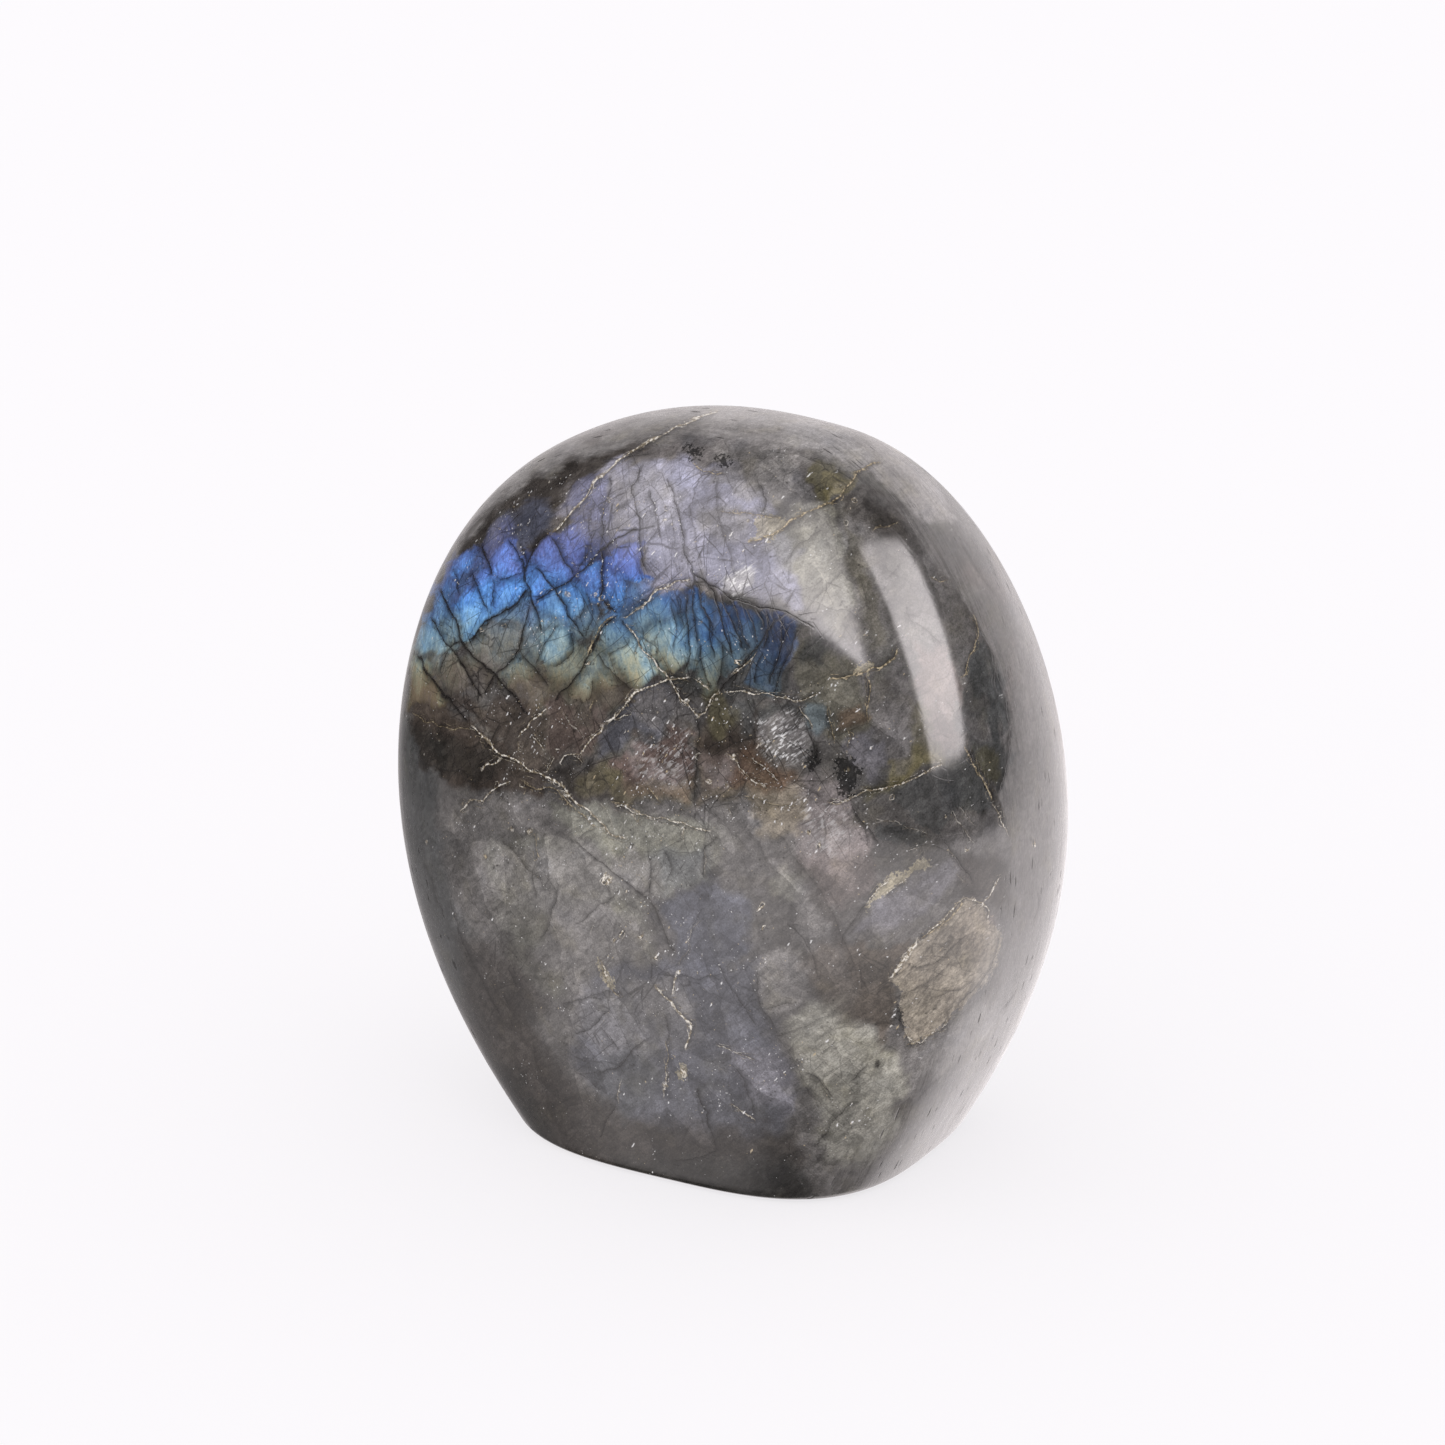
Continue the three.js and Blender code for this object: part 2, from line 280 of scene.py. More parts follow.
# Patches with a crisp outline: colour, how fully it covers, how far its edge is frayed in
# millimetres, and the corners of each part.
INLAYS = (
    (BRONZE, 0.70, 0.20, (((890, 981), (897, 968), (906, 955), (918, 940), (940, 924), (950, 912),
        (966, 898), (983, 902), (988, 920), (1000, 932), (1001, 945), (996, 965), (985, 985), (971, 998),
        (950, 1018), (931, 1034), (916, 1045), (905, 1036), (901, 1020), (899, 1005), (903, 990)),)),
    (FLAKE_GOLD, 0.72, 0.22, (((862, 912), (868, 903), (874, 896), (878, 889), (884, 881), (890, 877),
        (898, 873), (910, 868), (918, 862), (926, 858), (934, 862), (925, 868), (916, 872), (908, 877),
        (900, 883), (892, 889), (884, 895), (876, 900), (868, 908)), ((595, 956), (602, 964), (609, 974),
        (616, 986), (612, 990), (604, 984), (600, 970)), ((681, 1062), (687, 1070), (688, 1079),
        (680, 1080), (676, 1076)), ((754, 519), (760, 516), (784, 518), (790, 521), (783, 530), (773, 537),
        (760, 541), (750, 540), (756, 532)), ((852, 673), (858, 664), (872, 662), (870, 672), (860, 675)))),
    (POCKET, 0.70, 0.25, (((888, 788), (905, 782), (922, 776), (932, 772), (946, 764), (958, 757),
        (967, 748), (974, 762), (981, 774), (988, 792), (993, 803), (980, 812), (957, 808), (948, 820),
        (938, 834), (925, 828), (908, 814), (896, 802)), ((872, 830), (890, 822), (915, 830), (930, 838),
        (920, 848), (897, 844), (880, 841)), ((978, 640), (986, 643), (993, 657), (997, 668), (988, 674),
        (976, 672), (968, 668), (972, 652)), ((995, 668), (1001, 686), (1006, 706), (1009, 728),
        (1003, 734), (998, 716), (990, 700), (992, 684)))),
    (INK, 0.80, 0.50, (((838, 758), (846, 756), (857, 762), (860, 776), (853, 788), (850, 798), (842, 792),
        (836, 776)), ((807, 757), (814, 753), (819, 762), (813, 770), (806, 766)), ((896, 1007),
        (902, 1011), (901, 1021), (896, 1018)), ((594, 641), (602, 643), (612, 648), (606, 655),
        (599, 653), (595, 656)), ((718, 458), (727, 456), (730, 463), (724, 468), (718, 464)), ((684, 446),
        (693, 449), (702, 452), (700, 459), (690, 457)))),
)

# The flash, cell by cell: brightness, shift along the spectrum and corners in photo pixels. A
# cell lies between cracks, and its own tilt shifts its colour.
FLASH_CELLS = (
    (0.38, -0.02, ((483, 549), (488, 537), (494, 525), (501, 517), (509, 517), (511, 528), (507, 539),
        (499, 548), (492, 555), (487, 557))),
    (0.95, 0.01, ((489, 560), (496, 553), (503, 547), (510, 545), (516, 551), (521, 558), (524, 567),
        (524, 573), (515, 576), (505, 578), (498, 578), (494, 576), (491, 568))),
    (0.78, 0.00, ((454, 563), (459, 554), (466, 550), (473, 552), (474, 558), (470, 565), (463, 573),
        (458, 579), (455, 584), (453, 573))),
    (0.50, -0.06, ((441, 590), (445, 578), (450, 568), (454, 577), (457, 588), (457, 598), (451, 592),
        (446, 600))),
    (0.45, 0.00, ((463, 574), (471, 566), (475, 556), (485, 560), (487, 565), (480, 567), (474, 572),
        (473, 580), (468, 582), (461, 587), (457, 590), (456, 584))),
    (1.20, 0.00, ((475, 572), (481, 567), (486, 566), (490, 573), (493, 583), (493, 596), (490, 606),
        (485, 602), (480, 595), (476, 585))),
    (0.92, 0.03, ((495, 580), (503, 581), (515, 578), (525, 577), (526, 584), (520, 592), (513, 599),
        (506, 607), (498, 613), (493, 612), (493, 604), (496, 594))),
    (1.04, -0.02, ((459, 597), (462, 589), (468, 584), (474, 587), (478, 594), (484, 602), (489, 611),
        (486, 617), (480, 624), (474, 631), (468, 637), (463, 633), (459, 625), (456, 615), (457, 606))),
    (0.55, -0.02, ((430, 615), (434, 602), (440, 592), (446, 602), (449, 611), (444, 618), (439, 625))),
    (0.50, 0.03, ((439, 629), (444, 621), (449, 613), (454, 621), (459, 632), (456, 638), (451, 645),
        (445, 639))),
    (0.72, 0.01, ((419, 644), (424, 630), (430, 618), (437, 630), (444, 640), (448, 647), (442, 652),
        (432, 654), (421, 652))),
    (0.30, 0.04, ((419, 652), (432, 656), (444, 654), (446, 658), (441, 671), (434, 668), (427, 660))),
    (0.95, 0.05, ((412, 664), (419, 659), (425, 671), (432, 684), (440, 694), (447, 702), (436, 707),
        (420, 706), (411, 702), (411, 684))),
    (0.55, 0.12, ((413, 706), (436, 709), (450, 706), (462, 716), (455, 722), (436, 720), (418, 716))),
    (0.45, 0.10, ((494, 619), (505, 614), (515, 605), (524, 594), (529, 590), (531, 597), (527, 607),
        (522, 620), (510, 624), (498, 626))),
    (0.22, 0.12, ((470, 643), (480, 634), (490, 624), (508, 626), (521, 624), (518, 642), (512, 655),
        (503, 666), (490, 662), (478, 654))),
    (0.40, 0.04, ((528, 606), (534, 602), (538, 612), (541, 622), (537, 633), (530, 636), (524, 631),
        (525, 618))),
    (0.92, -0.01, ((527, 585), (531, 576), (537, 570), (544, 577), (551, 584), (545, 589), (538, 593),
        (532, 597), (529, 592))),
    (0.80, 0.00, ((535, 602), (545, 597), (555, 592), (559, 600), (564, 608), (568, 616), (560, 614),
        (550, 611), (541, 609))),
    (0.80, -0.03, ((532, 562), (533, 549), (540, 540), (547, 535), (553, 541), (557, 550), (563, 560),
        (569, 571), (571, 575), (564, 579), (556, 584), (551, 583), (544, 575), (537, 566))),
    (0.72, -0.06, ((556, 539), (562, 532), (571, 524), (581, 516), (586, 520), (589, 530), (590, 542),
        (587, 553), (581, 562), (576, 571), (571, 569), (565, 559), (560, 549))),
    (0.34, -0.10, ((589, 516), (601, 516), (601, 550), (595, 559), (590, 564), (587, 560), (591, 546))),
    (0.80, -0.01, ((584, 574), (590, 568), (596, 562), (600, 571), (601, 584), (600, 594), (594, 597),
        (588, 589))),
    (0.72, 0.02, ((560, 590), (567, 586), (575, 584), (580, 590), (584, 597), (583, 606), (578, 614),
        (574, 620), (569, 612), (564, 602))),
    (0.30, 0.02, ((585, 609), (592, 604), (600, 612), (597, 619), (590, 628), (585, 637), (579, 638),
        (576, 630), (580, 618))),
    (1.05, -0.05, ((605, 556), (612, 549), (622, 551), (632, 545), (640, 545), (642, 560), (645, 574),
        (640, 582), (630, 578), (618, 569), (607, 564))),
    (0.74, -0.02, ((605, 568), (612, 572), (620, 579), (624, 590), (622, 602), (615, 608), (608, 602),
        (604, 590))),
    (0.34, 0.00, ((625, 582), (636, 586), (645, 580), (650, 590), (640, 598), (630, 606), (624, 612),
        (624, 598))),
    (0.34, -0.10, ((606, 546), (614, 538), (628, 532), (639, 530), (640, 540), (630, 543), (618, 546),
        (608, 552))),
    (0.60, -0.08, ((590, 500), (603, 476), (610, 478), (605, 512), (597, 528), (590, 518))),
    (0.38, -0.05, ((564, 506), (572, 490), (592, 473), (599, 477), (588, 498), (576, 510))),
    (0.88, 0.04, ((544, 640), (551, 630), (560, 626), (569, 631), (571, 640), (570, 650), (564, 657),
        (556, 662), (549, 660), (542, 655))),
    (0.50, 0.02, ((541, 611), (553, 613), (566, 618), (571, 625), (560, 624), (549, 629), (541, 635))),
    (0.35, 0.03, ((536, 637), (541, 638), (540, 650), (534, 659), (526, 653), (522, 642), (528, 639))),
    (0.62, 0.06, ((550, 668), (558, 665), (568, 657), (578, 652), (580, 660), (574, 670), (564, 680),
        (555, 684), (548, 678))),
    (0.55, 0.02, ((584, 656), (592, 652), (600, 657), (603, 668), (597, 672), (590, 668), (585, 664))),
    (0.60, 0.03, ((583, 672), (594, 673), (593, 690), (588, 702), (576, 700), (566, 694), (574, 682))),
    (0.62, 0.03, ((601, 673), (612, 681), (622, 690), (633, 697), (622, 705), (604, 708), (598, 700),
        (599, 686))),
    (0.98, 0.02, ((616, 654), (625, 644), (634, 637), (641, 645), (648, 653), (656, 662), (660, 669),
        (650, 677), (640, 683), (630, 678), (621, 668))),
    (0.58, 0.01, ((600, 628), (609, 620), (616, 616), (622, 625), (627, 633), (624, 642), (614, 650),
        (604, 650), (598, 641))),
    (0.45, 0.04, ((606, 655), (614, 656), (620, 670), (630, 682), (622, 686), (611, 676), (603, 666))),
    (0.50, 0.05, ((510, 668), (520, 656), (530, 666), (540, 678), (550, 690), (545, 704), (532, 712),
        (518, 698), (506, 684))),
    (0.38, 0.08, ((473, 660), (486, 669), (495, 676), (487, 696), (476, 686), (467, 670))),
    (0.34, 0.10, ((450, 655), (456, 658), (462, 667), (467, 678), (471, 690), (456, 690), (444, 678),
        (446, 666))),
    (0.50, 0.05, ((628, 620), (640, 610), (655, 600), (668, 594), (680, 592), (688, 600), (690, 612),
        (676, 614), (660, 618), (646, 626), (638, 632))),
    (0.78, 0.09, ((648, 628), (662, 620), (678, 616), (691, 614), (694, 640), (694, 658), (684, 668),
        (673, 674), (662, 664), (650, 648), (642, 638))),
    (0.78, 0.06, ((694, 588), (700, 592), (706, 606), (712, 622), (720, 640), (724, 660), (716, 680),
        (706, 692), (698, 676), (697, 640), (694, 612))),
    (0.50, 0.07, ((712, 600), (722, 600), (732, 606), (738, 622), (744, 644), (738, 660), (728, 672),
        (724, 648), (718, 624))),
    (0.50, 0.00, ((740, 608), (752, 610), (762, 622), (760, 640), (750, 652), (742, 640))),
    (0.42, -0.14, ((766, 618), (780, 614), (796, 622), (796, 644), (784, 668), (776, 690), (762, 694),
        (752, 690), (744, 684), (752, 664), (764, 644))),
)

# Where the flash is dimmer: brightness, softness of the edge and corners in photo pixels.
FLASH_SHADES = (
    (0.50, 8, ((664, 596), (700, 586), (760, 608), (800, 622), (784, 700), (690, 696), (690, 640))),
    (0.75, 8, ((740, 604), (802, 620), (784, 700), (742, 696))),
    (0.70, 5, ((752, 606), (800, 622), (778, 690), (766, 660))),
)

# Dark cracks: half width in millimetres, strength and corners in photo pixels.
DARK_CRACKS = (
    (0.11, 0.9, ((700, 592), (704, 606), (708, 622), (711, 640), (713, 660))),
    (0.12, 0.9, ((717, 590), (724, 606), (731, 621), (739, 637), (743, 652))),
    (0.10, 0.9, ((743, 604), (750, 617), (756, 630), (757, 644))),
    (0.10, 0.9, ((765, 611), (768, 624), (766, 638), (760, 652))),
    (0.10, 0.9, ((684, 592), (686, 612), (688, 634), (690, 656), (686, 672))),
    (0.08, 0.8, ((671, 598), (674, 616), (676, 636), (674, 652))),
    (0.10, 0.9, ((790, 624), (782, 646), (774, 668), (768, 688))),
    (0.09, 0.9, ((762, 652), (757, 668), (752, 686))),
    (0.09, 0.9, ((700, 640), (702, 658), (706, 676), (712, 692))),
    (0.09, 0.9, ((720, 640), (722, 658), (721, 676), (716, 690))),
    (0.08, 0.8, ((740, 660), (736, 676), (732, 690))),
    (0.08, 0.8, ((778, 612), (782, 628), (782, 644), (776, 660))),
    (0.16, 1.0, ((482, 543), (486, 556), (490, 566), (493, 577))),
    (0.07, 0.8, ((493, 577), (494, 588), (494, 598), (490, 609))),
    (0.13, 0.9, ((507, 538), (514, 547), (519, 555), (523, 565), (526, 575), (527, 583))),
    (0.08, 0.8, ((518, 540), (522, 549), (525, 559), (527, 570))),
    (0.14, 0.95, ((551, 532), (541, 538), (534, 546), (529, 557), (526, 570), (527, 582), (530, 592),
        (533, 602), (537, 613), (541, 624), (542, 634))),
    (0.15, 0.95, ((535, 566), (541, 573), (547, 580), (553, 588), (559, 597), (565, 607), (569, 616),
        (575, 624), (580, 632), (586, 639))),
    (0.13, 0.95, ((533, 602), (541, 597), (549, 592), (557, 587), (565, 583), (572, 579), (578, 573),
        (584, 569), (590, 563), (596, 557), (601, 551), (608, 545), (617, 538), (627, 533), (640, 528))),
    (0.10, 0.85, ((551, 536), (557, 547), (563, 558), (569, 569), (574, 577))),
    (0.06, 0.8, ((591, 546), (587, 556), (581, 564), (576, 573))),
    (0.14, 0.95, ((602, 549), (603, 562), (602, 575), (602, 588), (602, 598), (607, 604), (613, 610),
        (619, 615))),
    (0.08, 0.8, ((605, 505), (603, 520), (602, 535), (602, 550))),
    (0.16, 1.0, ((530, 587), (524, 592), (518, 600), (511, 607), (503, 613), (494, 617), (487, 622),
        (481, 629), (474, 637), (466, 642))),
    (0.09, 0.9, ((461, 637), (453, 645), (447, 652), (443, 664), (440, 675))),
    (0.13, 0.9, ((531, 603), (528, 612), (525, 620), (522, 630), (520, 642), (517, 649), (512, 658),
        (505, 667), (498, 672), (493, 678), (487, 688), (483, 698))),
    (0.17, 1.0, ((438, 586), (444, 598), (450, 610), (456, 624), (461, 637), (468, 650), (476, 658),
        (485, 667), (494, 674), (503, 684), (512, 694), (521, 704), (530, 716))),
    (0.14, 0.95, ((430, 615), (437, 628), (443, 638), (450, 648), (456, 655), (462, 664), (467, 674),
        (472, 685), (478, 692), (483, 700))),
    (0.18, 1.0, ((417, 652), (422, 664), (427, 673), (433, 681), (440, 689), (447, 697), (455, 707),
        (463, 716), (470, 722))),
    (0.07, 0.8, ((453, 566), (456, 582), (459, 598))),
    (0.11, 0.9, ((472, 568), (474, 580), (478, 590), (483, 600), (489, 612))),
    (0.07, 0.7, ((461, 587), (466, 579), (473, 571), (480, 566))),
    (0.08, 0.8, ((493, 577), (501, 578), (509, 577), (517, 575), (525, 573))),
    (0.06, 0.8, ((583, 596), (585, 604), (581, 613), (576, 621))),
    (0.06, 0.8, ((585, 590), (590, 600), (593, 610), (592, 620), (588, 628), (586, 638))),
    (0.13, 0.95, ((620, 614), (611, 619), (604, 627), (598, 637), (593, 647), (589, 657), (584, 666),
        (577, 675), (569, 684), (561, 693), (553, 704))),
    (0.11, 0.9, ((621, 619), (628, 629), (637, 640), (645, 650), (653, 660), (661, 669))),
    (0.07, 0.8, ((628, 638), (624, 646), (616, 651), (608, 653))),
    (0.09, 0.8, ((518, 651), (528, 660), (536, 668), (543, 677), (550, 688))),
    (0.07, 0.8, ((557, 624), (549, 636), (543, 646), (538, 658), (535, 667))),
    (0.08, 0.8, ((571, 630), (573, 642), (571, 654), (563, 662), (553, 668))),
    (0.06, 0.7, ((498, 702), (508, 713), (518, 724))),
    (0.07, 0.8, ((597, 652), (604, 664), (612, 674), (624, 684), (634, 692))),
    (0.06, 0.7, ((594, 676), (592, 690), (588, 702))),
    (0.08, 0.8, ((612, 473), (610, 490), (605, 507))),
    (0.08, 0.8, ((643, 462), (637, 476), (632, 487), (633, 500), (638, 511), (639, 527), (640, 543),
        (642, 558), (647, 575))),
    (0.06, 0.8, ((648, 487), (652, 500), (656, 512), (660, 525), (662, 540))),
    (0.08, 0.8, ((668, 474), (672, 491), (676, 505), (680, 520), (682, 535), (684, 550), (687, 562),
        (694, 575))),
    (0.08, 0.8, ((758, 482), (764, 490), (767, 500), (765, 510), (761, 515))),
    (0.07, 0.8, ((755, 516), (768, 515), (783, 517))),
    (0.04, 0.7, ((780, 565), (790, 555), (800, 543), (810, 538), (823, 529))),
    (0.04, 0.6, ((804, 613), (813, 603), (823, 592), (835, 580), (846, 571))),
    (0.05, 0.7, ((793, 589), (790, 598), (786, 607))),
    (0.09, 0.9, ((691, 583), (692, 598), (693, 611), (695, 626), (696, 644))),
    (0.10, 0.9, ((694, 577), (699, 590), (703, 602), (707, 615), (711, 628), (714, 642))),
    (0.14, 1.0, ((707, 580), (712, 592), (716, 604), (720, 616), (724, 630), (729, 644), (734, 656))),
    (0.10, 0.9, ((732, 596), (736, 610), (740, 623), (745, 638), (750, 650))),
    (0.09, 0.9, ((755, 605), (760, 617), (764, 630))),
    (0.06, 0.7, ((678, 594), (681, 612), (684, 630))),
    (0.11, 0.9, ((778, 616), (765, 634), (752, 650), (739, 667), (726, 684), (713, 699), (704, 715))),
    (0.09, 0.9, ((800, 626), (792, 646), (784, 666), (777, 686), (770, 700))),
    (0.13, 0.95, ((692, 572), (703, 579), (712, 586), (722, 592), (731, 598), (742, 602), (752, 604),
        (762, 608), (772, 609), (783, 612), (793, 617), (803, 622), (815, 630))),
    (0.06, 0.8, ((600, 460), (618, 459), (640, 454), (658, 452))),
    (0.06, 0.8, ((720, 800), (738, 797), (752, 794))),
    (0.07, 0.8, ((853, 807), (863, 822), (872, 834), (879, 842))),
    (0.06, 0.8, ((968, 746), (974, 758), (981, 772), (987, 788), (993, 802))),
    (0.06, 0.8, ((977, 626), (985, 638), (993, 657), (998, 677), (1004, 694), (1008, 710), (1011, 730),
        (1010, 750), (1005, 774), (998, 795))),
    (0.07, 0.8, ((698, 716), (697, 740), (695, 762), (697, 780), (694, 804))),
    (0.05, 0.7, ((572, 840), (582, 848), (593, 857), (606, 866), (622, 879), (640, 892), (651, 900),
        (659, 918), (668, 940), (677, 957))),
    (0.05, 0.7, ((647, 848), (650, 872), (648, 896))),
    (0.04, 0.6, ((622, 884), (612, 898), (592, 912), (574, 928))),
    (0.05, 0.5, ((702, 905), (694, 922), (690, 940))),
    (0.05, 0.7, ((534, 866), (532, 880), (536, 900))),
    (0.05, 0.7, ((720, 836), (704, 846), (704, 880))),
    (0.05, 0.35, ((768, 830), (784, 842), (800, 862), (818, 888), (832, 912), (842, 938), (856, 972),
        (862, 996))),
    (0.05, 0.25, ((740, 990), (760, 1012), (778, 1034), (797, 1065), (806, 1086), (822, 1108))),
    (0.05, 0.4, ((774, 1036), (794, 1030), (812, 1024), (832, 1012), (846, 1000))),
    (0.05, 0.8, ((868, 1064), (858, 1074), (848, 1080))),
    (0.05, 0.8, ((803, 1070), (816, 1078), (826, 1090), (835, 1098))),
    (0.05, 0.7, ((838, 1036), (830, 1048), (820, 1056))),
    (0.07, 0.9, ((896, 1000), (900, 1014), (903, 1034))),
    (0.05, 0.8, ((697, 1084), (700, 1100), (707, 1114), (711, 1132))),
    (0.05, 0.7, ((612, 1008), (598, 1022), (588, 1030), (574, 1034))),
    (0.05, 0.7, ((646, 1038), (634, 1050), (626, 1062), (612, 1070), (594, 1074))),
    (0.05, 0.7, ((618, 1104), (606, 1122), (600, 1140))),
    (0.06, 0.8, ((938, 836), (950, 850), (962, 866), (974, 884))),
    (0.07, 0.8, ((1000, 934), (998, 948), (990, 968), (974, 990), (958, 1006))),
    (0.05, 0.7, ((790, 780), (812, 792), (824, 800))),
    (0.05, 0.7, ((748, 716), (756, 736), (754, 752))),
    (0.05, 0.7, ((850, 802), (862, 824), (870, 850))),
    (0.04, 0.6, ((600, 866), (606, 884), (611, 898))),
)

# Dark hairlines, all of one width and strength.
DARK_HAIRLINES = (((896, 1000), (908, 990), (924, 984), (940, 972), (952, 958)),
    ((930, 1000), (946, 992), (962, 990), (978, 978)),
    ((905, 962), (918, 968), (934, 964), (950, 950), (966, 934)),
    ((450, 900), (458, 930), (470, 960), (486, 990), (500, 1016)),
    ((560, 880), (556, 900), (548, 922), (540, 940)), ((500, 838), (516, 852), (528, 870), (544, 880)),
    ((648, 962), (672, 974), (700, 978), (724, 972)), ((716, 960), (728, 984), (744, 1006), (758, 1030)),
    ((838, 950), (846, 930), (858, 912), (868, 900)), ((786, 920), (800, 936), (812, 958), (820, 984)),
    ((560, 1004), (580, 1000), (600, 992), (622, 990)),
    ((730, 1060), (744, 1080), (752, 1104), (756, 1130)), ((690, 500), (692, 520), (697, 545), (703, 568)),
    ((718, 478), (715, 502), (722, 530), (730, 556), (735, 576)),
    ((692, 542), (698, 539), (707, 535), (715, 532), (720, 530)),
    ((717, 512), (733, 512), (747, 513), (755, 516), (767, 516), (783, 517)),
    ((632, 455), (640, 470), (637, 486)), ((795, 585), (789, 598), (784, 610)),
    ((880, 562), (892, 572), (903, 579)), ((902, 560), (893, 571), (886, 581)), ((903, 612), (921, 615)),
    ((907, 601), (913, 626)), ((905, 616), (925, 629), (944, 645)), ((764, 606), (768, 626), (776, 646)),
    ((782, 650), (777, 668), (772, 690)), ((462, 700), (476, 714), (491, 728)),
    ((533, 700), (524, 711), (514, 724)), ((937, 838), (946, 848), (955, 860), (963, 873)),
    ((864, 673), (869, 683), (871, 696)), ((828, 703), (826, 716), (830, 730)),
    ((802, 713), (809, 722), (813, 733), (814, 744)), ((700, 724), (708, 732), (716, 741)),
    ((575, 842), (585, 835), (596, 826)), ((664, 848), (672, 866), (668, 884)),
    ((757, 966), (756, 990), (764, 1012), (778, 1032)), ((764, 1012), (782, 1004), (796, 1000)),
    ((862, 1100), (850, 1104), (838, 1116), (828, 1132), (812, 1150)),
    ((706, 1110), (714, 1140), (716, 1152), (690, 1160), (672, 1160)),
    ((600, 1026), (610, 1040), (620, 1050)), ((664, 1010), (668, 1030), (666, 1048)),
    ((820, 1086), (828, 1096), (834, 1104)), ((858, 960), (861, 975), (862, 992)),
    ((425, 862), (432, 880), (438, 900), (444, 915)), ((507, 965), (512, 976), (518, 990)),
    ((990, 655), (995, 672), (993, 682), (1001, 702)), ((960, 545), (972, 562), (984, 580), (996, 600)),
    ((985, 552), (992, 566), (1000, 582)), ((1036, 890), (1040, 902), (1036, 916), (1030, 922)),
    ((1002, 1012), (1010, 1000), (1018, 986)), ((976, 1060), (984, 1046), (990, 1040)),
    ((916, 1100), (930, 1086), (944, 1072)))

# Golden veins, written like the dark cracks.
GOLD_VEINS = (
    (0.09, 1.0, ((616, 613), (608, 619), (601, 627), (595, 638), (591, 648), (588, 656))),
    (0.07, 0.7, ((520, 780), (536, 790), (552, 786), (566, 800), (582, 815), (598, 828))),
    (0.10, 1.0, ((882, 460), (868, 467), (857, 475), (849, 484), (842, 494), (832, 502), (812, 510),
        (794, 518), (784, 526), (772, 535), (760, 540), (746, 541))),
    (0.06, 0.7, ((718, 511), (744, 513), (762, 516), (786, 518))),
    (0.10, 1.0, ((827, 680), (847, 677), (863, 674), (872, 669), (880, 668), (887, 662), (894, 655),
        (898, 646))),
    (0.07, 0.8, ((865, 673), (870, 684), (870, 697), (867, 708), (867, 717), (870, 727))),
    (0.06, 0.7, ((848, 727), (852, 738), (847, 748))),
    (0.05, 0.7, ((647, 783), (653, 793), (661, 805))),
    (0.05, 0.6, ((594, 696), (591, 707), (590, 716))),
    (0.05, 0.7, ((534, 832), (537, 843), (536, 849), (539, 857), (536, 863))),
    (0.06, 0.6, ((413, 711), (421, 721), (431, 722), (441, 726), (450, 729), (460, 728), (471, 726))),
    (0.07, 0.8, ((972, 610), (977, 625), (977, 638), (972, 652), (967, 665), (962, 680))),
    (0.07, 0.8, ((962, 742), (974, 764), (985, 785), (994, 802))),
    (0.09, 0.9, ((966, 898), (956, 912), (945, 924), (930, 932), (918, 941))),
    (0.07, 0.7, ((594, 957), (601, 968), (607, 980), (612, 990), (620, 999))),
    (0.07, 0.8, ((692, 462), (702, 470), (714, 473), (726, 471))),
    (0.06, 0.6, ((606, 800), (626, 806), (640, 812), (636, 826))),
    (0.06, 0.7, ((828, 703), (827, 717), (832, 730), (835, 743))),
    (0.06, 0.6, ((928, 576), (938, 580), (950, 580))),
    (0.05, 0.6, ((905, 1047), (922, 1038), (936, 1033))),
    (0.05, 0.6, ((665, 1036), (668, 1052), (667, 1066), (665, 1084))),
    (0.05, 0.6, ((742, 794), (760, 800), (780, 806), (800, 804))),
    (0.06, 0.6, ((870, 531), (885, 526), (901, 521))),
)

# Pale hairlines and short painted glints, all of one width and strength.
PALE_HAIRLINES_AND_GLINTS = (((903, 852), (915, 846), (928, 858)), ((868, 816), (900, 824), (930, 834)),
    ((912, 852), (925, 866)), ((950, 808), (962, 825), (975, 845)), ((958, 806), (975, 828)),
    ((945, 845), (958, 860)), ((954, 872), (966, 884)), ((600, 800), (606, 812), (612, 824), (618, 834)),
    ((700, 916), (692, 930), (689, 948), (683, 960), (678, 968)),
    ((588, 742), (578, 732), (570, 722), (560, 710)), ((686, 818), (685, 832), (684, 846)),
    ((704, 848), (706, 862), (705, 876)), ((600, 884), (609, 870)), ((605, 886), (614, 873)),
    ((618, 931), (625, 921)), ((620, 943), (628, 932)), ((612, 946), (618, 937)), ((636, 939), (644, 928)),
    ((651, 961), (659, 949)), ((589, 935), (597, 924)), ((758, 912), (766, 904)), ((760, 930), (766, 922)),
    ((966, 854), (970, 846)), ((817, 840), (822, 852)), ((1035, 842), (1030, 832)))

# Short bright glints, all of one width and strength.
GLINTS = (((601, 885), (605, 879), (609, 872)), ((605, 888), (609, 882), (613, 875)),
    ((618, 938), (625, 929)), ((613, 944), (617, 938)), ((627, 924), (631, 920)), ((638, 939), (644, 932)),
    ((652, 962), (658, 954)), ((757, 914), (762, 906), (766, 903)), ((761, 932), (765, 924)),
    ((966, 854), (969, 846)), ((1033, 840), (1036, 848)), ((588, 668), (592, 660)),
    ((541, 618), (545, 624)), ((735, 658), (739, 666)), ((818, 842), (821, 850)), ((806, 828), (812, 834)))

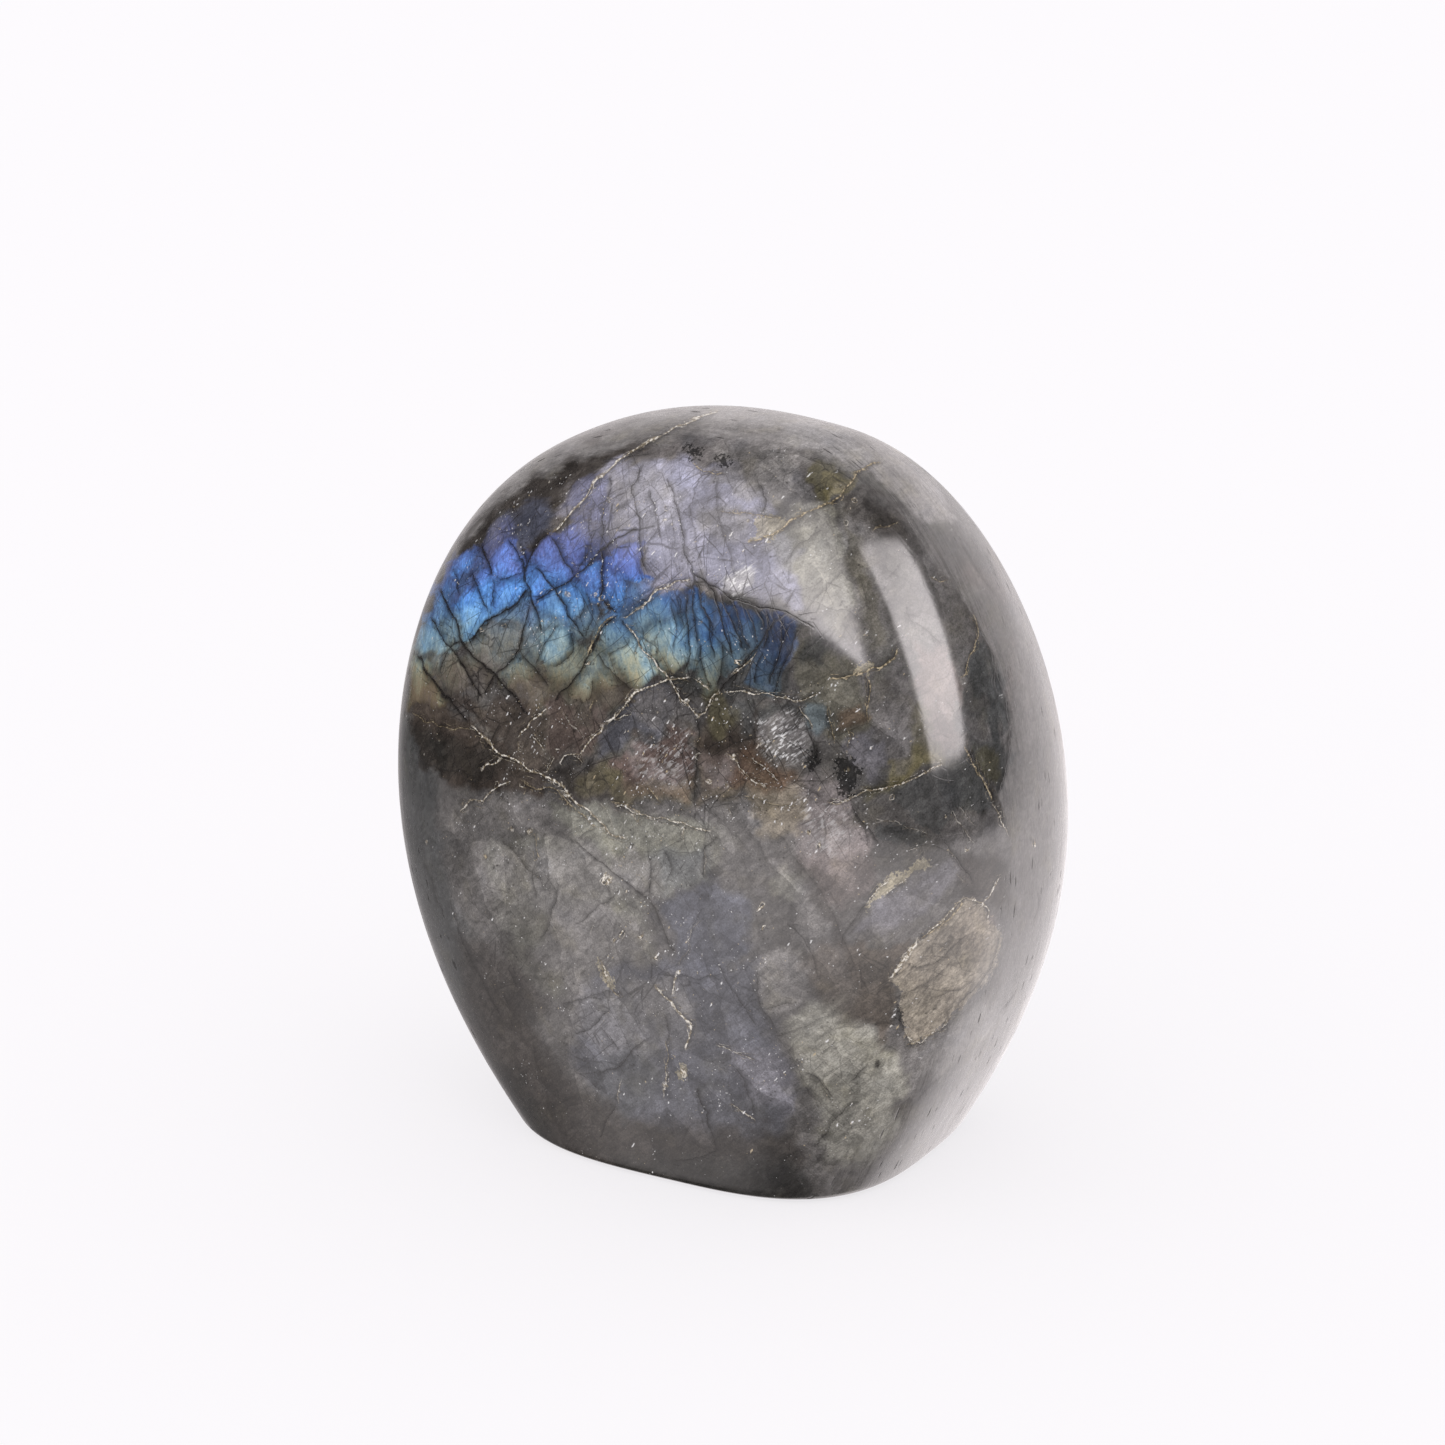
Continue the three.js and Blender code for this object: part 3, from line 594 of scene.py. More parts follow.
# Cream veins, written like the dark cracks.
WHITE_VEINS = (
    (0.11, 1.0, ((720, 410), (690, 420), (665, 434), (640, 446), (620, 459), (607, 471), (594, 483),
        (584, 500), (571, 515), (560, 527), (552, 534))),
    (0.10, 0.9, ((692, 578), (676, 582), (661, 588), (649, 600), (636, 610), (623, 621))),
    (0.08, 0.9, ((625, 623), (640, 644), (654, 661), (668, 676), (678, 692), (690, 709), (700, 720))),
    (0.09, 1.0, ((604, 724), (613, 720), (618, 715), (622, 709), (627, 701), (637, 693), (647, 688),
        (657, 685), (667, 679), (680, 677), (692, 678))),
    (0.06, 0.8, ((613, 720), (623, 717), (633, 712))),
    (0.12, 1.0, ((604, 724), (598, 733), (592, 741), (585, 747), (579, 754))),
    (0.07, 0.8, ((579, 754), (570, 754), (565, 757), (558, 765))),
    (0.05, 0.8, ((570, 755), (577, 758), (585, 765))),
    (0.08, 0.9, ((692, 678), (703, 685), (708, 690), (712, 692))),
    (0.08, 0.9, ((722, 691), (715, 695), (710, 702), (707, 710), (702, 716), (697, 723))),
    (0.06, 0.9, ((722, 692), (740, 690), (755, 694), (773, 696), (793, 701), (807, 698), (820, 695))),
    (0.10, 1.0, ((471, 724), (477, 730), (484, 737), (491, 744), (500, 754), (509, 756), (516, 761),
        (523, 766), (531, 771), (539, 774), (551, 777), (559, 784), (566, 791), (578, 803), (590, 813),
        (600, 822), (608, 830), (617, 836), (628, 840))),
    (0.05, 0.8, ((557, 790), (566, 796), (574, 802))),
    (0.08, 0.9, ((550, 706), (540, 713), (531, 720), (524, 730), (518, 740))),
    (0.05, 0.7, ((518, 740), (518, 747), (516, 754))),
    (0.10, 0.9, ((503, 757), (497, 761), (493, 764), (487, 765), (481, 772))),
    (0.07, 0.8, ((530, 734), (537, 740), (541, 745), (545, 751))),
    (0.06, 0.8, ((553, 749), (562, 749))),
    (0.07, 0.8, ((543, 774), (548, 767), (552, 761), (556, 754))),
    (0.07, 0.8, ((457, 812), (463, 807), (474, 800), (482, 803), (489, 794), (497, 789), (501, 783),
        (513, 781))),
    (0.06, 0.8, ((517, 784), (526, 788))),
    (0.06, 0.9, ((612, 806), (625, 807), (633, 812), (643, 815), (657, 817), (670, 819), (683, 823),
        (697, 828), (712, 833))),
    (0.05, 0.7, ((625, 812), (633, 815), (637, 822), (636, 828))),
    (0.05, 0.7, ((685, 826), (684, 833), (682, 841))),
    (0.06, 0.8, ((725, 752), (733, 757), (740, 767), (750, 777), (760, 785), (768, 791))),
    (0.04, 0.7, ((750, 757), (762, 767), (772, 773), (780, 782))),
    (0.06, 0.9, ((697, 752), (693, 760))),
    (0.07, 0.8, ((758, 650), (744, 664), (731, 675))),
    (0.08, 0.9, ((826, 801), (835, 803), (847, 801), (860, 794), (873, 789), (888, 786), (898, 785),
        (910, 780), (922, 775), (930, 770), (937, 765), (945, 762))),
    (0.10, 1.0, ((598, 960), (604, 969), (611, 980))),
    (0.13, 1.0, ((653, 984), (657, 990), (664, 995), (671, 1000), (678, 1010), (685, 1018), (691, 1025),
        (688, 1038), (686, 1050))),
    (0.09, 0.9, ((677, 971), (674, 984), (672, 998))),
    (0.05, 0.7, ((714, 1044), (730, 1050), (744, 1057), (756, 1061))),
    (0.06, 0.8, ((728, 1102), (744, 1112), (758, 1124))),
    (0.20, 1.0, ((891, 982), (896, 972), (904, 960), (913, 948), (921, 939))),
    (0.08, 1.0, ((921, 939), (932, 929), (943, 922), (950, 912), (958, 903), (966, 897), (974, 902),
        (983, 902), (989, 913), (988, 922))),
    (0.07, 0.9, ((983, 903), (991, 893), (996, 884), (1002, 876))),
    (0.06, 0.8, ((903, 1030), (910, 1040), (921, 1044), (931, 1034), (944, 1026), (952, 1014))),
    (0.06, 0.7, ((936, 1033), (950, 1029))),
    (0.06, 0.8, ((799, 702), (803, 713), (810, 722), (814, 732))),
    (0.04, 0.7, ((728, 805), (731, 812), (733, 819))),
    (0.04, 0.7, ((757, 803), (763, 813))),
    (0.06, 0.7, ((667, 1070), (665, 1086), (662, 1100))),
    (0.05, 0.6, ((620, 1078), (618, 1094), (617, 1104))),
    (0.09, 1.0, ((866, 906), (872, 897), (878, 889), (884, 882), (890, 879))),
    (0.06, 0.8, ((880, 898), (890, 890), (898, 884), (908, 876))),
    (0.06, 0.9, ((993, 802), (999, 813), (1004, 826), (1010, 838))),
    (0.05, 0.8, ((1003, 876), (997, 882), (990, 892))),
)

# Small spots by tone and radius in millimetres: their places in photo pixels. The white spots are
# partly pale specks in the stone and partly painted glints.
SPOTS = (
    (0.0, 0.16, ((715, 482), (632, 846), (788, 484), (498, 866), (493, 868), (436, 652), (568, 797),
        (786, 834))),
    (0.0, 0.30, ((876, 1066), (533, 1130), (511, 847))),
    (0.5, 0.30, ((682, 1073), (486, 856), (463, 803), (847, 770), (607, 977))),
    (1.0, 0.09, ((613, 497), (609, 500), (619, 516), (612, 526), (619, 527), (642, 487), (650, 500),
        (658, 515), (664, 519), (671, 523), (675, 528), (667, 509), (679, 520), (606, 536), (524, 512),
        (520, 530), (531, 506), (536, 528), (545, 512), (528, 524), (500, 528), (497, 540), (514, 553),
        (506, 562), (512, 559), (517, 566), (484, 628), (482, 630), (505, 627), (508, 674), (512, 673),
        (573, 549), (569, 553), (572, 563), (597, 590), (594, 595), (602, 600), (610, 604), (633, 600),
        (638, 606), (629, 612), (711, 594), (722, 605), (727, 604), (700, 622), (740, 630), (676, 630))),
    (1.0, 0.12, ((491, 883), (517, 803), (426, 753), (440, 740), (468, 697), (712, 833), (780, 752),
        (755, 749), (763, 743), (597, 593), (603, 597), (892, 798), (950, 783), (927, 813), (945, 817),
        (577, 576), (541, 617), (604, 626), (611, 672), (510, 671), (495, 716), (548, 868), (546, 890),
        (698, 737), (716, 699), (699, 748), (733, 741), (660, 702), (658, 712), (718, 526), (748, 521),
        (806, 539), (636, 502), (620, 518), (610, 498), (841, 493), (847, 524), (875, 517), (853, 500))),
    (1.0, 0.26, ((683, 1066), (684, 1075), (678, 973), (655, 988), (692, 1026))),
    (1.0, 0.20, ((459, 811), (489, 794), (688, 825), (705, 687), (687, 702), (733, 757), (783, 757),
        (710, 782), (920, 797), (968, 850), (666, 1085), (607, 878), (587, 549), (853, 721), (847, 753),
        (619, 1091))),
    (0.8, 0.24, ((842, 748), (848, 752), (846, 757), (852, 756))),
    (0.8, 0.30, ((511, 829), (530, 831), (728, 784), (465, 806), (567, 594), (426, 842))),
)


def towards_viewer():
    """Unit vector from the stone to the viewpoint."""
    flat = math.cos(VIEW_ELEVATION)
    return np.array((math.sin(VIEW_AZIMUTH) * flat, -math.cos(VIEW_AZIMUTH) * flat,
                     math.sin(VIEW_ELEVATION)))


def photo_axes():
    """The photograph's rightward and upward unit vectors, in the stone's frame."""
    right = np.array((math.cos(VIEW_AZIMUTH), math.sin(VIEW_AZIMUTH), 0.0))
    return right, np.cross(right, -towards_viewer())


def photo_xy(points):
    """Where points in millimetres fall in the photograph, in its own pixels."""
    right, up = photo_axes()
    offset = points - VIEW_TARGET
    scale = PIXELS_PER_MM * VIEW_DISTANCE / (VIEW_DISTANCE - offset @ towards_viewer())
    return TARGET_PIXEL[0] + scale * (offset @ right), TARGET_PIXEL[1] - scale * (offset @ up)


def half_width(widths, share):
    """Half an ellipse's height curve times the cubic through the four given half widths."""
    swell = np.array(widths) / np.sqrt(1.0 - np.square(STATIONS))
    cubic = np.polyfit(STATIONS, swell, 3)
    return np.sqrt(np.clip(1.0 - share**2, 0.0, None)) * np.polyval(cubic, share)


def skin_points(share, direction, inset):
    """Points of the skin: four quarter superellipses for the section at a share of the height,
    drawn in by inset, then turned and leaned in proportion to the height."""
    across, along = np.cos(direction), np.sin(direction)
    wide = np.where(across > 0, half_width(RIGHT_HALF_WIDTHS, share), half_width(LEFT_HALF_WIDTHS, share))
    deep = np.where(along > 0, half_width(BACK_HALF_WIDTHS, share), half_width(FRONT_HALF_WIDTHS, share))
    n = FOOT_SQUARENESS + (CROWN_SQUARENESS - FOOT_SQUARENESS) * share
    wide, deep = np.maximum(wide, 1e-6), np.maximum(deep, 1e-6)
    radius = (np.abs(across / wide) ** n + np.abs(along / deep) ** n) ** (-1.0 / n)
    radius = np.maximum(radius - inset - DRAWN_IN, 0.0)
    turned = direction + TWIST * share
    x = radius * np.cos(turned) + LEAN[0] * share**2
    y = radius * np.sin(turned) + LEAN[1] * share**2
    z = (HEIGHT - DRAWN_IN) * share + 0.0 * x
    return np.stack((x, y, z), -1)


def stone_rows():
    """Share of the height and inset of every row: the eased edge, then the skin up to the crown."""
    edge = np.linspace(0.0, math.pi / 2, EDGE_ROWS, endpoint=False)
    share = FOOT_EDGE * (1.0 - np.cos(edge)) / HEIGHT
    inset = FOOT_EDGE * (1.0 - np.sin(edge))
    rise = np.linspace(math.asin(FOOT_EDGE / HEIGHT), math.pi / 2, SKIN_ROWS, endpoint=False)
    return np.concatenate((share, np.sin(rise))), np.concatenate((inset, np.zeros(SKIN_ROWS)))


def stone_grid():
    """Grid of points over the whole stone: rings across the flat foot, then the rows of the skin,
    with the columns closer together towards the viewpoint."""
    share, inset = stone_rows()
    even = np.linspace(-math.pi, math.pi, ROUND, endpoint=False)
    direction = even - CROWDING * np.sin(even) + VIEW_AZIMUTH - math.pi / 2
    skin = skin_points(share[:, None], direction[None, :], inset[:, None])
    shrink = np.linspace(0.0, 1.0, FOOT_RINGS, endpoint=False)[1:, None, None]
    foot = skin[:1] * shrink
    return np.concatenate((foot, skin))


def closed_mesh(name, grid, low_pole, high_pole):
    """Mesh of a grid that closes on itself round its rows, with a fan to a pole at each end."""
    rows, cols = grid.shape[:2]
    points = np.concatenate((grid.reshape(-1, 3), [low_pole, high_pole])) * MM
    here = np.arange(rows * cols).reshape(rows, cols)
    side = np.roll(here, -1, 1)
    quads = np.stack((here[:-1], side[:-1], side[1:], here[1:]), -1).reshape(-1, 4)
    low, high = rows * cols, rows * cols + 1
    bottom = np.stack((side[0], here[0], np.full(cols, low)), -1)
    top = np.stack((here[-1], side[-1], np.full(cols, high)), -1)
    mesh = bpy.data.meshes.new(name)
    mesh.from_pydata(points.tolist(), [], quads.tolist() + bottom.tolist() + top.tolist())
    mesh.polygons.foreach_set("use_smooth", np.ones(len(mesh.polygons), bool))
    mesh.update()
    return mesh


def soft_step(value, low, high):
    """Smooth step from 0 at low to 1 at high; low may be the larger of the two."""
    share = np.clip((value - low) / (high - low), 0.0, 1.0)
    return share * share * (3.0 - 2.0 * share)


# How many cosines a ripple sums, and what brings their sum back to about -1 to 1.
RIPPLE_WAVES = 24
RIPPLE_DIVISOR = 3.5


def ripple(points, size, seed):
    """Even random waviness, about -1 to 1: the sum of cosines that run in random directions, each
    with a wave about as long as size."""
    dice = np.random.default_rng(seed)
    ways = dice.normal(size=(RIPPLE_WAVES, 3))
    ways /= np.linalg.norm(ways, axis=1)[:, None]
    waves = 2.0 * math.pi / (size * dice.uniform(0.7, 1.4, RIPPLE_WAVES))
    starts = dice.uniform(0.0, 2.0 * math.pi, RIPPLE_WAVES)
    return np.cos(points @ (ways * waves[:, None]).T + starts).sum(1) / RIPPLE_DIVISOR


def line_distance(x, y, start, end):
    """Distance to the nearest point of one straight line, that point's share of the way along it,
    and the side on which each place lies."""
    run_x, run_y = end[0] - start[0], end[1] - start[1]
    share = np.clip(((x - start[0]) * run_x + (y - start[1]) * run_y) / (run_x**2 + run_y**2), 0.0, 1.0)
    away = np.hypot(x - start[0] - share * run_x, y - start[1] - share * run_y)
    return away, share, np.sign(run_x * (y - start[1]) - run_y * (x - start[0]))


def area_distance(x, y, corners):
    """Distance to the outline of a straight-sided area, positive inside it."""
    away = np.full(x.shape, 1e9)
    inside = np.zeros(x.shape, bool)
    for start, end in zip(corners, corners[1:] + corners[:1]):
        away = np.minimum(away, line_distance(x, y, start, end)[0])
        crosses = (start[1] > y) != (end[1] > y)
        slope = (end[0] - start[0]) / ((end[1] - start[1]) or 1.0)
        inside ^= crosses & (x < start[0] + (y - start[1]) * slope)
    return np.where(inside, away, -away)


def area_share(x, y, corners, soft):
    """1 inside a straight-sided area and 0 outside it, with an edge as soft as given."""
    return soft_step(area_distance(x, y, corners), -soft, soft)


# Over how many photo pixels the end of a crack or vein fades.
TAPER = 6.0


def chain_distance(x, y, corners):
    """Distance to a chain of straight lines, negative on its one side, and how far along the chain
    the nearest point lies from the chain's nearer end, as a share of its length up to TAPER."""
    nearest = np.full(x.shape, 1e9)
    signed, travelled = np.zeros(x.shape), np.zeros(x.shape)
    total = 0.0
    for start, end in zip(corners, corners[1:]):
        away, share, side = line_distance(x, y, start, end)
        length = math.dist(start, end)
        closer = away < nearest
        nearest = np.where(closer, away, nearest)
        signed = np.where(closer, away * side, signed)
        travelled = np.where(closer, total + share * length, travelled)
        total += length
    return signed, np.minimum(travelled, total - travelled) / min(TAPER, 0.45 * total)


# How squarely a place must face the viewpoint to start and to finish taking the photographed side.
SEEN = (0.02, 0.16)


class Places:
    """Where every point of the skin lies: in millimetres, in the photograph, and how it faces."""

    def __init__(self, points, normals):
        self.points = points
        self.normals = normals
        self.x, self.y = photo_xy(points)
        self.seen = soft_step(normals @ towards_viewer(), *SEEN)
        self.hidden = 1.0 - self.seen
        turn = -TWIST * points[:, 2] / HEIGHT
        self.facing_front = -normals[:, 0] * np.sin(turn) - normals[:, 1] * np.cos(turn)

    def shaken(self, amount, size, seed):
        """The photograph's coordinates, shifted about by a ripple."""
        return (self.x + amount * ripple(self.points, size, seed),
                self.y + amount * ripple(self.points, size, seed + 1))


def lay(under, colour, share):
    """A colour laid over another by a share for each point."""
    return under + (np.array(colour) - under) * share[:, None]


# Fractures that cross the sides that the photograph doesn't show: how many there are anywhere and
# how many more on the back, and the directions that they lie near.
FRACTURES = 46
BACK_FRACTURES = 44
FRACTURE_SEED = 7
FRACTURE_WAYS = ((0.80, -0.10, 0.59), (-0.62, 0.15, 0.77), (0.25, 0.93, 0.26))


def fractures(places):
    """Signed distance to each of a set of cracked planes, where each one shows, its kind, and the
    brightness beside it. Each has its own direction, middle, radius and waviness."""
    dice = np.random.default_rng(FRACTURE_SEED)
    sheets = []
    behind = np.flatnonzero(places.normals[:, 1] > 0.6)
    for number in range(FRACTURES + BACK_FRACTURES):
        ways = FRACTURE_WAYS if number < FRACTURES else FRACTURE_WAYS[:2]
        way = np.array(ways[number % len(ways)]) + dice.normal(0.0, 0.16, 3)
        way /= np.linalg.norm(way)
        middle = places.points[dice.integers(len(places.points))]
        if number >= FRACTURES:
            middle = places.points[dice.choice(behind)]
        reach = dice.uniform(7.0, 26.0)
        offset = places.points - middle
        away = offset @ way + 0.35 * ripple(places.points, 9.0, 100 + number)
        shown = soft_step(np.linalg.norm(offset, axis=1), reach, reach * 0.6)
        sheets.append((away, shown, dice.uniform(0.0, 1.0), dice.uniform(0.78, 1.3)))
    return sheets


# Clouds on the sides that the photograph doesn't show.
CLOUDS = 48
CLOUD_STRENGTH = 0.62
CLOUD_SEED = 11
CLOUD_COLOURS = (FOG, SOOT, SAGE, BLUE_SLATE, DOVE, UMBER, PALE_SAGE, SLATE, PLUM, LAVENDER, MOSS, BLUSH)


def paint_tint(places, sheets):
    """Body colour. The sides that the photograph doesn't show get soft clouds of the same
    minerals, broken at the fractures; the photographed side gets its own areas, which also carry
    painted shading of the form."""
    dice = np.random.default_rng(CLOUD_SEED)
    points = places.points
    tint = lay(np.tile(ASH, (len(points), 1)), SLATE, soft_step(ripple(points, 26.0, 21), -0.6, 0.8))
    for number in range(CLOUDS):
        middle = points[dice.integers(len(points))]
        reach = dice.uniform(5.0, 13.0)
        offset = (points - middle) * (1.0, 1.0, dice.uniform(0.6, 1.3))
        away = np.linalg.norm(offset, axis=1) + 2.6 * ripple(points, 7.0, 300 + number)
        share = soft_step(away, reach, reach * dice.uniform(0.30, 0.80))
        tint = lay(tint, CLOUD_COLOURS[number % len(CLOUD_COLOURS)], CLOUD_STRENGTH * share)
    for away, shown, _, gain in sheets:
        beside = soft_step(away, -0.1, 0.1) * soft_step(away, 9.0, 1.0) * shown
        tint = tint * (1.0 + (gain - 1.0) * beside)[:, None]

    photographed = lay(tint, ASH, np.full(len(points), 0.7))
    x, y = places.shaken(3.4, 4.5, 31)
    x, y = x + 1.6 * ripple(points, 1.3, 33), y + 1.6 * ripple(points, 1.3, 34)
    for colour, strength, soft, corners in AREAS:
        photographed = lay(photographed, colour, strength * area_share(x, y, corners, 0.55 * soft))
    return tint + (photographed - tint) * places.seen[:, None]


# How wide a gap between two flashing cells the flash still bridges, in photo pixels.
FLASH_BRIDGE = 7.0

# The row where the spectrum starts, the drop over which it runs, and the columns between which its
# right part is held back, all in photo pixels.
FLASH_TOP = 512.0
FLASH_DROP = 205.0
FLASH_HELD_BACK = (655.0, 715.0)

# The height where the spectrum starts on the back and the drop over which it runs, in millimetres.
BACK_FLASH_TOP = 66.0
BACK_FLASH_DROP = 34.0
BACK_FLASH_STRENGTH = 0.72


def paint_flash(places, sheets):
    """Labradorescence, a sheen painted into the colour: where along the spectrum each point flashes, how
    strongly, how brightly and how far inside a cell it lies. Down the photographed face the colour runs
    from violet by blue and green to orange brown, and each cell glows most in its middle, with painted
    shade towards its edges."""
    x, y = places.shaken(2.0, 4.0, 41)
    along = (y - FLASH_TOP) / FLASH_DROP - 0.15 * soft_step(x, *FLASH_HELD_BACK)
    strength, shift = np.zeros(x.shape), np.zeros(x.shape)
    nearest, second = np.full(x.shape, -1e9), np.full(x.shape, -1e9)
    for brightness, tilt_light, corners in FLASH_CELLS:
        away = area_distance(x, y, corners)
        nearer = away > nearest
        strength, shift = np.where(nearer, brightness, strength), np.where(nearer, tilt_light, shift)
        second = np.maximum(second, np.minimum(nearest, away))
        nearest = np.maximum(nearest, away)
    inside = np.maximum(nearest, second + FLASH_BRIDGE)
    bright = 0.58 + 0.52 * soft_step(nearest / PIXELS_PER_MM, -0.20, 0.60)
    for brightness, soft, corners in FLASH_SHADES:
        bright = bright * (1.0 + (brightness - 1.0) * area_share(x, y, corners, soft))
    along = along + shift + 0.03 * ripple(places.points, 5.0, 43)
    strength = strength * places.seen

    # A weaker flash on the back, across the middle, running the same way, dimmed beside fractures.
    height = places.points[:, 2] + 2.0 * ripple(places.points, 9.0, 45)
    back_along = (BACK_FLASH_TOP - height) / BACK_FLASH_DROP + 0.05 * ripple(places.points, 6.0, 47)
    back = soft_step(places.normals[:, 1], 0.55, 0.85)
    back = back * soft_step(height, 34.0, 44.0) * soft_step(height, BACK_FLASH_TOP, 58.0)
    back = back * soft_step(places.points[:, 0] + 5.0 * ripple(places.points, 14.0, 48), 16.0, 4.0)
    back = BACK_FLASH_STRENGTH * back * places.hidden
    for away, shown, kind, _ in sheets:
        dimmed = soft_step(away, -0.15, 0.15) * soft_step(away, 9.0, 4.0) * shown
        back = back * (1.0 - 0.75 * kind * dimmed)
        back_along = back_along + 0.10 * (kind - 0.5) * dimmed
    bright = 1.0 + (bright - 1.0) * places.seen
    inside = np.where(places.seen > 0.5, inside / PIXELS_PER_MM, 1.0)
    along = np.where(back > strength, back_along, along)
    return np.stack((along, np.maximum(strength, back), bright, np.clip(inside, -1.0, 1.0)), -1)


def paint_inlays(places):
    """Distance inside each of the four kinds of crisp patch, in millimetres."""
    x, y = places.shaken(1.2, 1.5, 55)
    kinds = []
    for _, _, _, parts in INLAYS:
        inside = np.max([area_distance(x, y, corners) for corners in parts], axis=0)
        kinds.append(np.clip(np.where(places.seen > 0.5, inside / PIXELS_PER_MM, -1.0), -1.0, 1.0))
    return np.stack(kinds, -1)


# How far from its middle a line keeps a layer to itself, in millimetres: a crack, a vein, and a pale
# hairline, a glint or the rim of a spot.
CRACK_ZONE, VEIN_ZONE, HAIR_ZONE = 0.85, 0.6, 0.4

# Half width in millimetres and strength of the dark and pale hairlines and of the glints.
DARK_HAIR = (0.045, 0.6)
PALE_HAIR_AND_GLINT = (0.045, 0.4)
GLINT = (0.10, 2.2)

# The tone stored for each kind of line, and the share of the hidden fractures up to each kind.
DARK, GOLD, WHITE = 0.0, 0.5, 1.0
DARK_UP_TO, GOLD_UP_TO = 0.62, 0.85

# How much narrower the dark cracks are drawn than they were traced.
DARK_NARROWING = 0.74


def place_veins(places, sheets):
    """Every crack and vein: how wide a zone it takes up, its signed distance in millimetres, and
    its strength, tone and width."""
    x, y = places.shaken(0.8, 2.6, 51)
    veins = []
    groups = ((DARK, CRACK_ZONE, DARK_CRACKS), (WHITE, VEIN_ZONE, WHITE_VEINS),
              (GOLD, VEIN_ZONE, GOLD_VEINS),
              (DARK, VEIN_ZONE, [(*DARK_HAIR, corners) for corners in DARK_HAIRLINES]),
              (WHITE, HAIR_ZONE, [(*PALE_HAIR_AND_GLINT, corners) for corners in PALE_HAIRLINES_AND_GLINTS]),
              (WHITE, HAIR_ZONE, [(*GLINT, corners) for corners in GLINTS]))
    for tone, zone, group in groups:
        for width, strength, corners in group:
            away, from_end = chain_distance(x, y, corners)
            shown = strength * soft_step(from_end, 0.0, 1.0) * places.seen
            width = width * (DARK_NARROWING if tone == DARK else 1.0)
            side = 1.0 if len(veins) % 2 else -1.0
            veins.append((zone, side * away / PIXELS_PER_MM, shown, tone, width))
    for tone, radius, spots in SPOTS:
        for spot_x, spot_y in spots:
            away = np.hypot(x - spot_x, y - spot_y) / PIXELS_PER_MM
            veins.append((radius + HAIR_ZONE, away, places.seen, tone, radius))
    for away, shown, kind, _ in sheets:
        tone = DARK if kind < DARK_UP_TO else GOLD if kind < GOLD_UP_TO else WHITE
        broken = soft_step(ripple(places.points, 6.0, int(1000 * kind)), -1.1, -0.2)
        shown = shown * broken * places.hidden
        veins.append((CRACK_ZONE, away, shown, tone, 0.09 + 0.05 * kind))
    return veins


def fill_layers(veins, count):
    """The veins shared out over layers, so that no two in one layer come near each other. Each
    layer holds distance, strength, tone and width for every point."""
    layers = []
    for reach, away, shown, tone, width in veins:
        zone = (np.abs(away) < reach) & (shown > 0.02)
        layer = next((layer for layer in layers if not (layer[1] & zone).any()), None)
        if layer is None:
            layer = (np.tile((CRACK_ZONE, 0.0, 0.0, 0.1), (count, 1)), np.zeros(count, bool))
            layers.append(layer)
        values, used = layer
        near = shown * soft_step(np.abs(away), reach, 0.55 * reach)
        full = np.stack((away, near, np.full(count, tone), np.full(count, width)), -1)
        values[zone] = full[zone]
        used |= zone
    return [values for values, _ in layers]


# The middle of the outline and its mean radius, in millimetres.
RIM_CENTRE = (-3.0, 36.0)
RIM_RADIUS = 37.0

# Where the photographed side has more fine cracks, more bright flecks and a painted silky sheen, in
# photo pixels.
CRACKLED = ((440, 600), (470, 520), (560, 470), (640, 460), (760, 480), (800, 600), (820, 700), (800, 800),
    (560, 800), (430, 770))
FLECKED = ((480, 690), (860, 690), (870, 860), (700, 840), (520, 830))
FLECKED_HIGH = ((484, 530), (510, 498), (560, 486), (640, 478), (690, 490), (690, 540), (610, 620),
    (500, 560))
FLECKED_LOW = ((560, 860), (700, 880), (800, 1100), (690, 1120), (600, 960))
SILKY = ((764, 722), (790, 708), (806, 726), (802, 752), (778, 760), (762, 744))
SILKY_HOT = ((716, 584), (738, 568), (753, 568), (758, 592), (744, 600), (728, 594))
SILKY_PLUM = ((636, 742), (690, 730), (694, 776), (640, 784))
SILKY_BLUSH = ((800, 800), (846, 812), (856, 850), (806, 850))

# How squarely a place must face the front to be polished, by bearing round the outline in degrees,
# clockwise from the top; the rest of the edge is satin.
POLISH_BEARINGS = (-180, -140, -92, -63, -52, -38, -16, 7, 14, 22, 28, 48, 65, 99, 108, 121, 131, 180)
POLISH_FACING = (0.90, 0.84, 0.77, 0.76, 0.66, 0.60, 0.53, 0.46, 0.18, 0.00, -0.10, -0.09, -0.01, 0.04,
    0.08, 0.22, 0.32, 0.50)

# How sharply the polish gives way to satin, and how squarely the back must face away to be polished.
POLISH_SHARPNESS = 15.0
POLISHED_BACK = 0.49

# The polished face as the photograph shows it, and how far down its edge grows softer, in photo
# pixels.
EDGE_SOFTENS = (600.0, 800.0)
POLISHED = ((413, 738), (405, 715), (413, 684), (417, 658), (420, 643), (426, 626), (433, 608), (442, 588),
    (450, 568), (459, 553), (470, 541), (483, 520), (494, 506), (508, 496), (530, 480), (560, 464),
    (590, 453), (621, 449), (660, 449), (690, 441), (740, 440), (778, 444), (812, 450), (836, 462),
    (856, 484), (880, 500), (907, 520), (929, 551), (947, 578), (966, 604), (978, 626), (986, 638),
    (994, 657), (999, 677), (1005, 694), (1009, 710), (1012, 730), (1011, 750), (1006, 775), (998, 798),
    (1004, 826), (1011, 845), (1006, 880), (1000, 905), (1001, 932), (996, 965), (985, 985), (960, 1018),
    (930, 1050), (910, 1090), (880, 1125), (850, 1160), (800, 1200), (640, 1200), (560, 1130), (500, 1060),
    (470, 980), (445, 900), (434, 840), (470, 792), (446, 781), (433, 773), (424, 763), (417, 751))


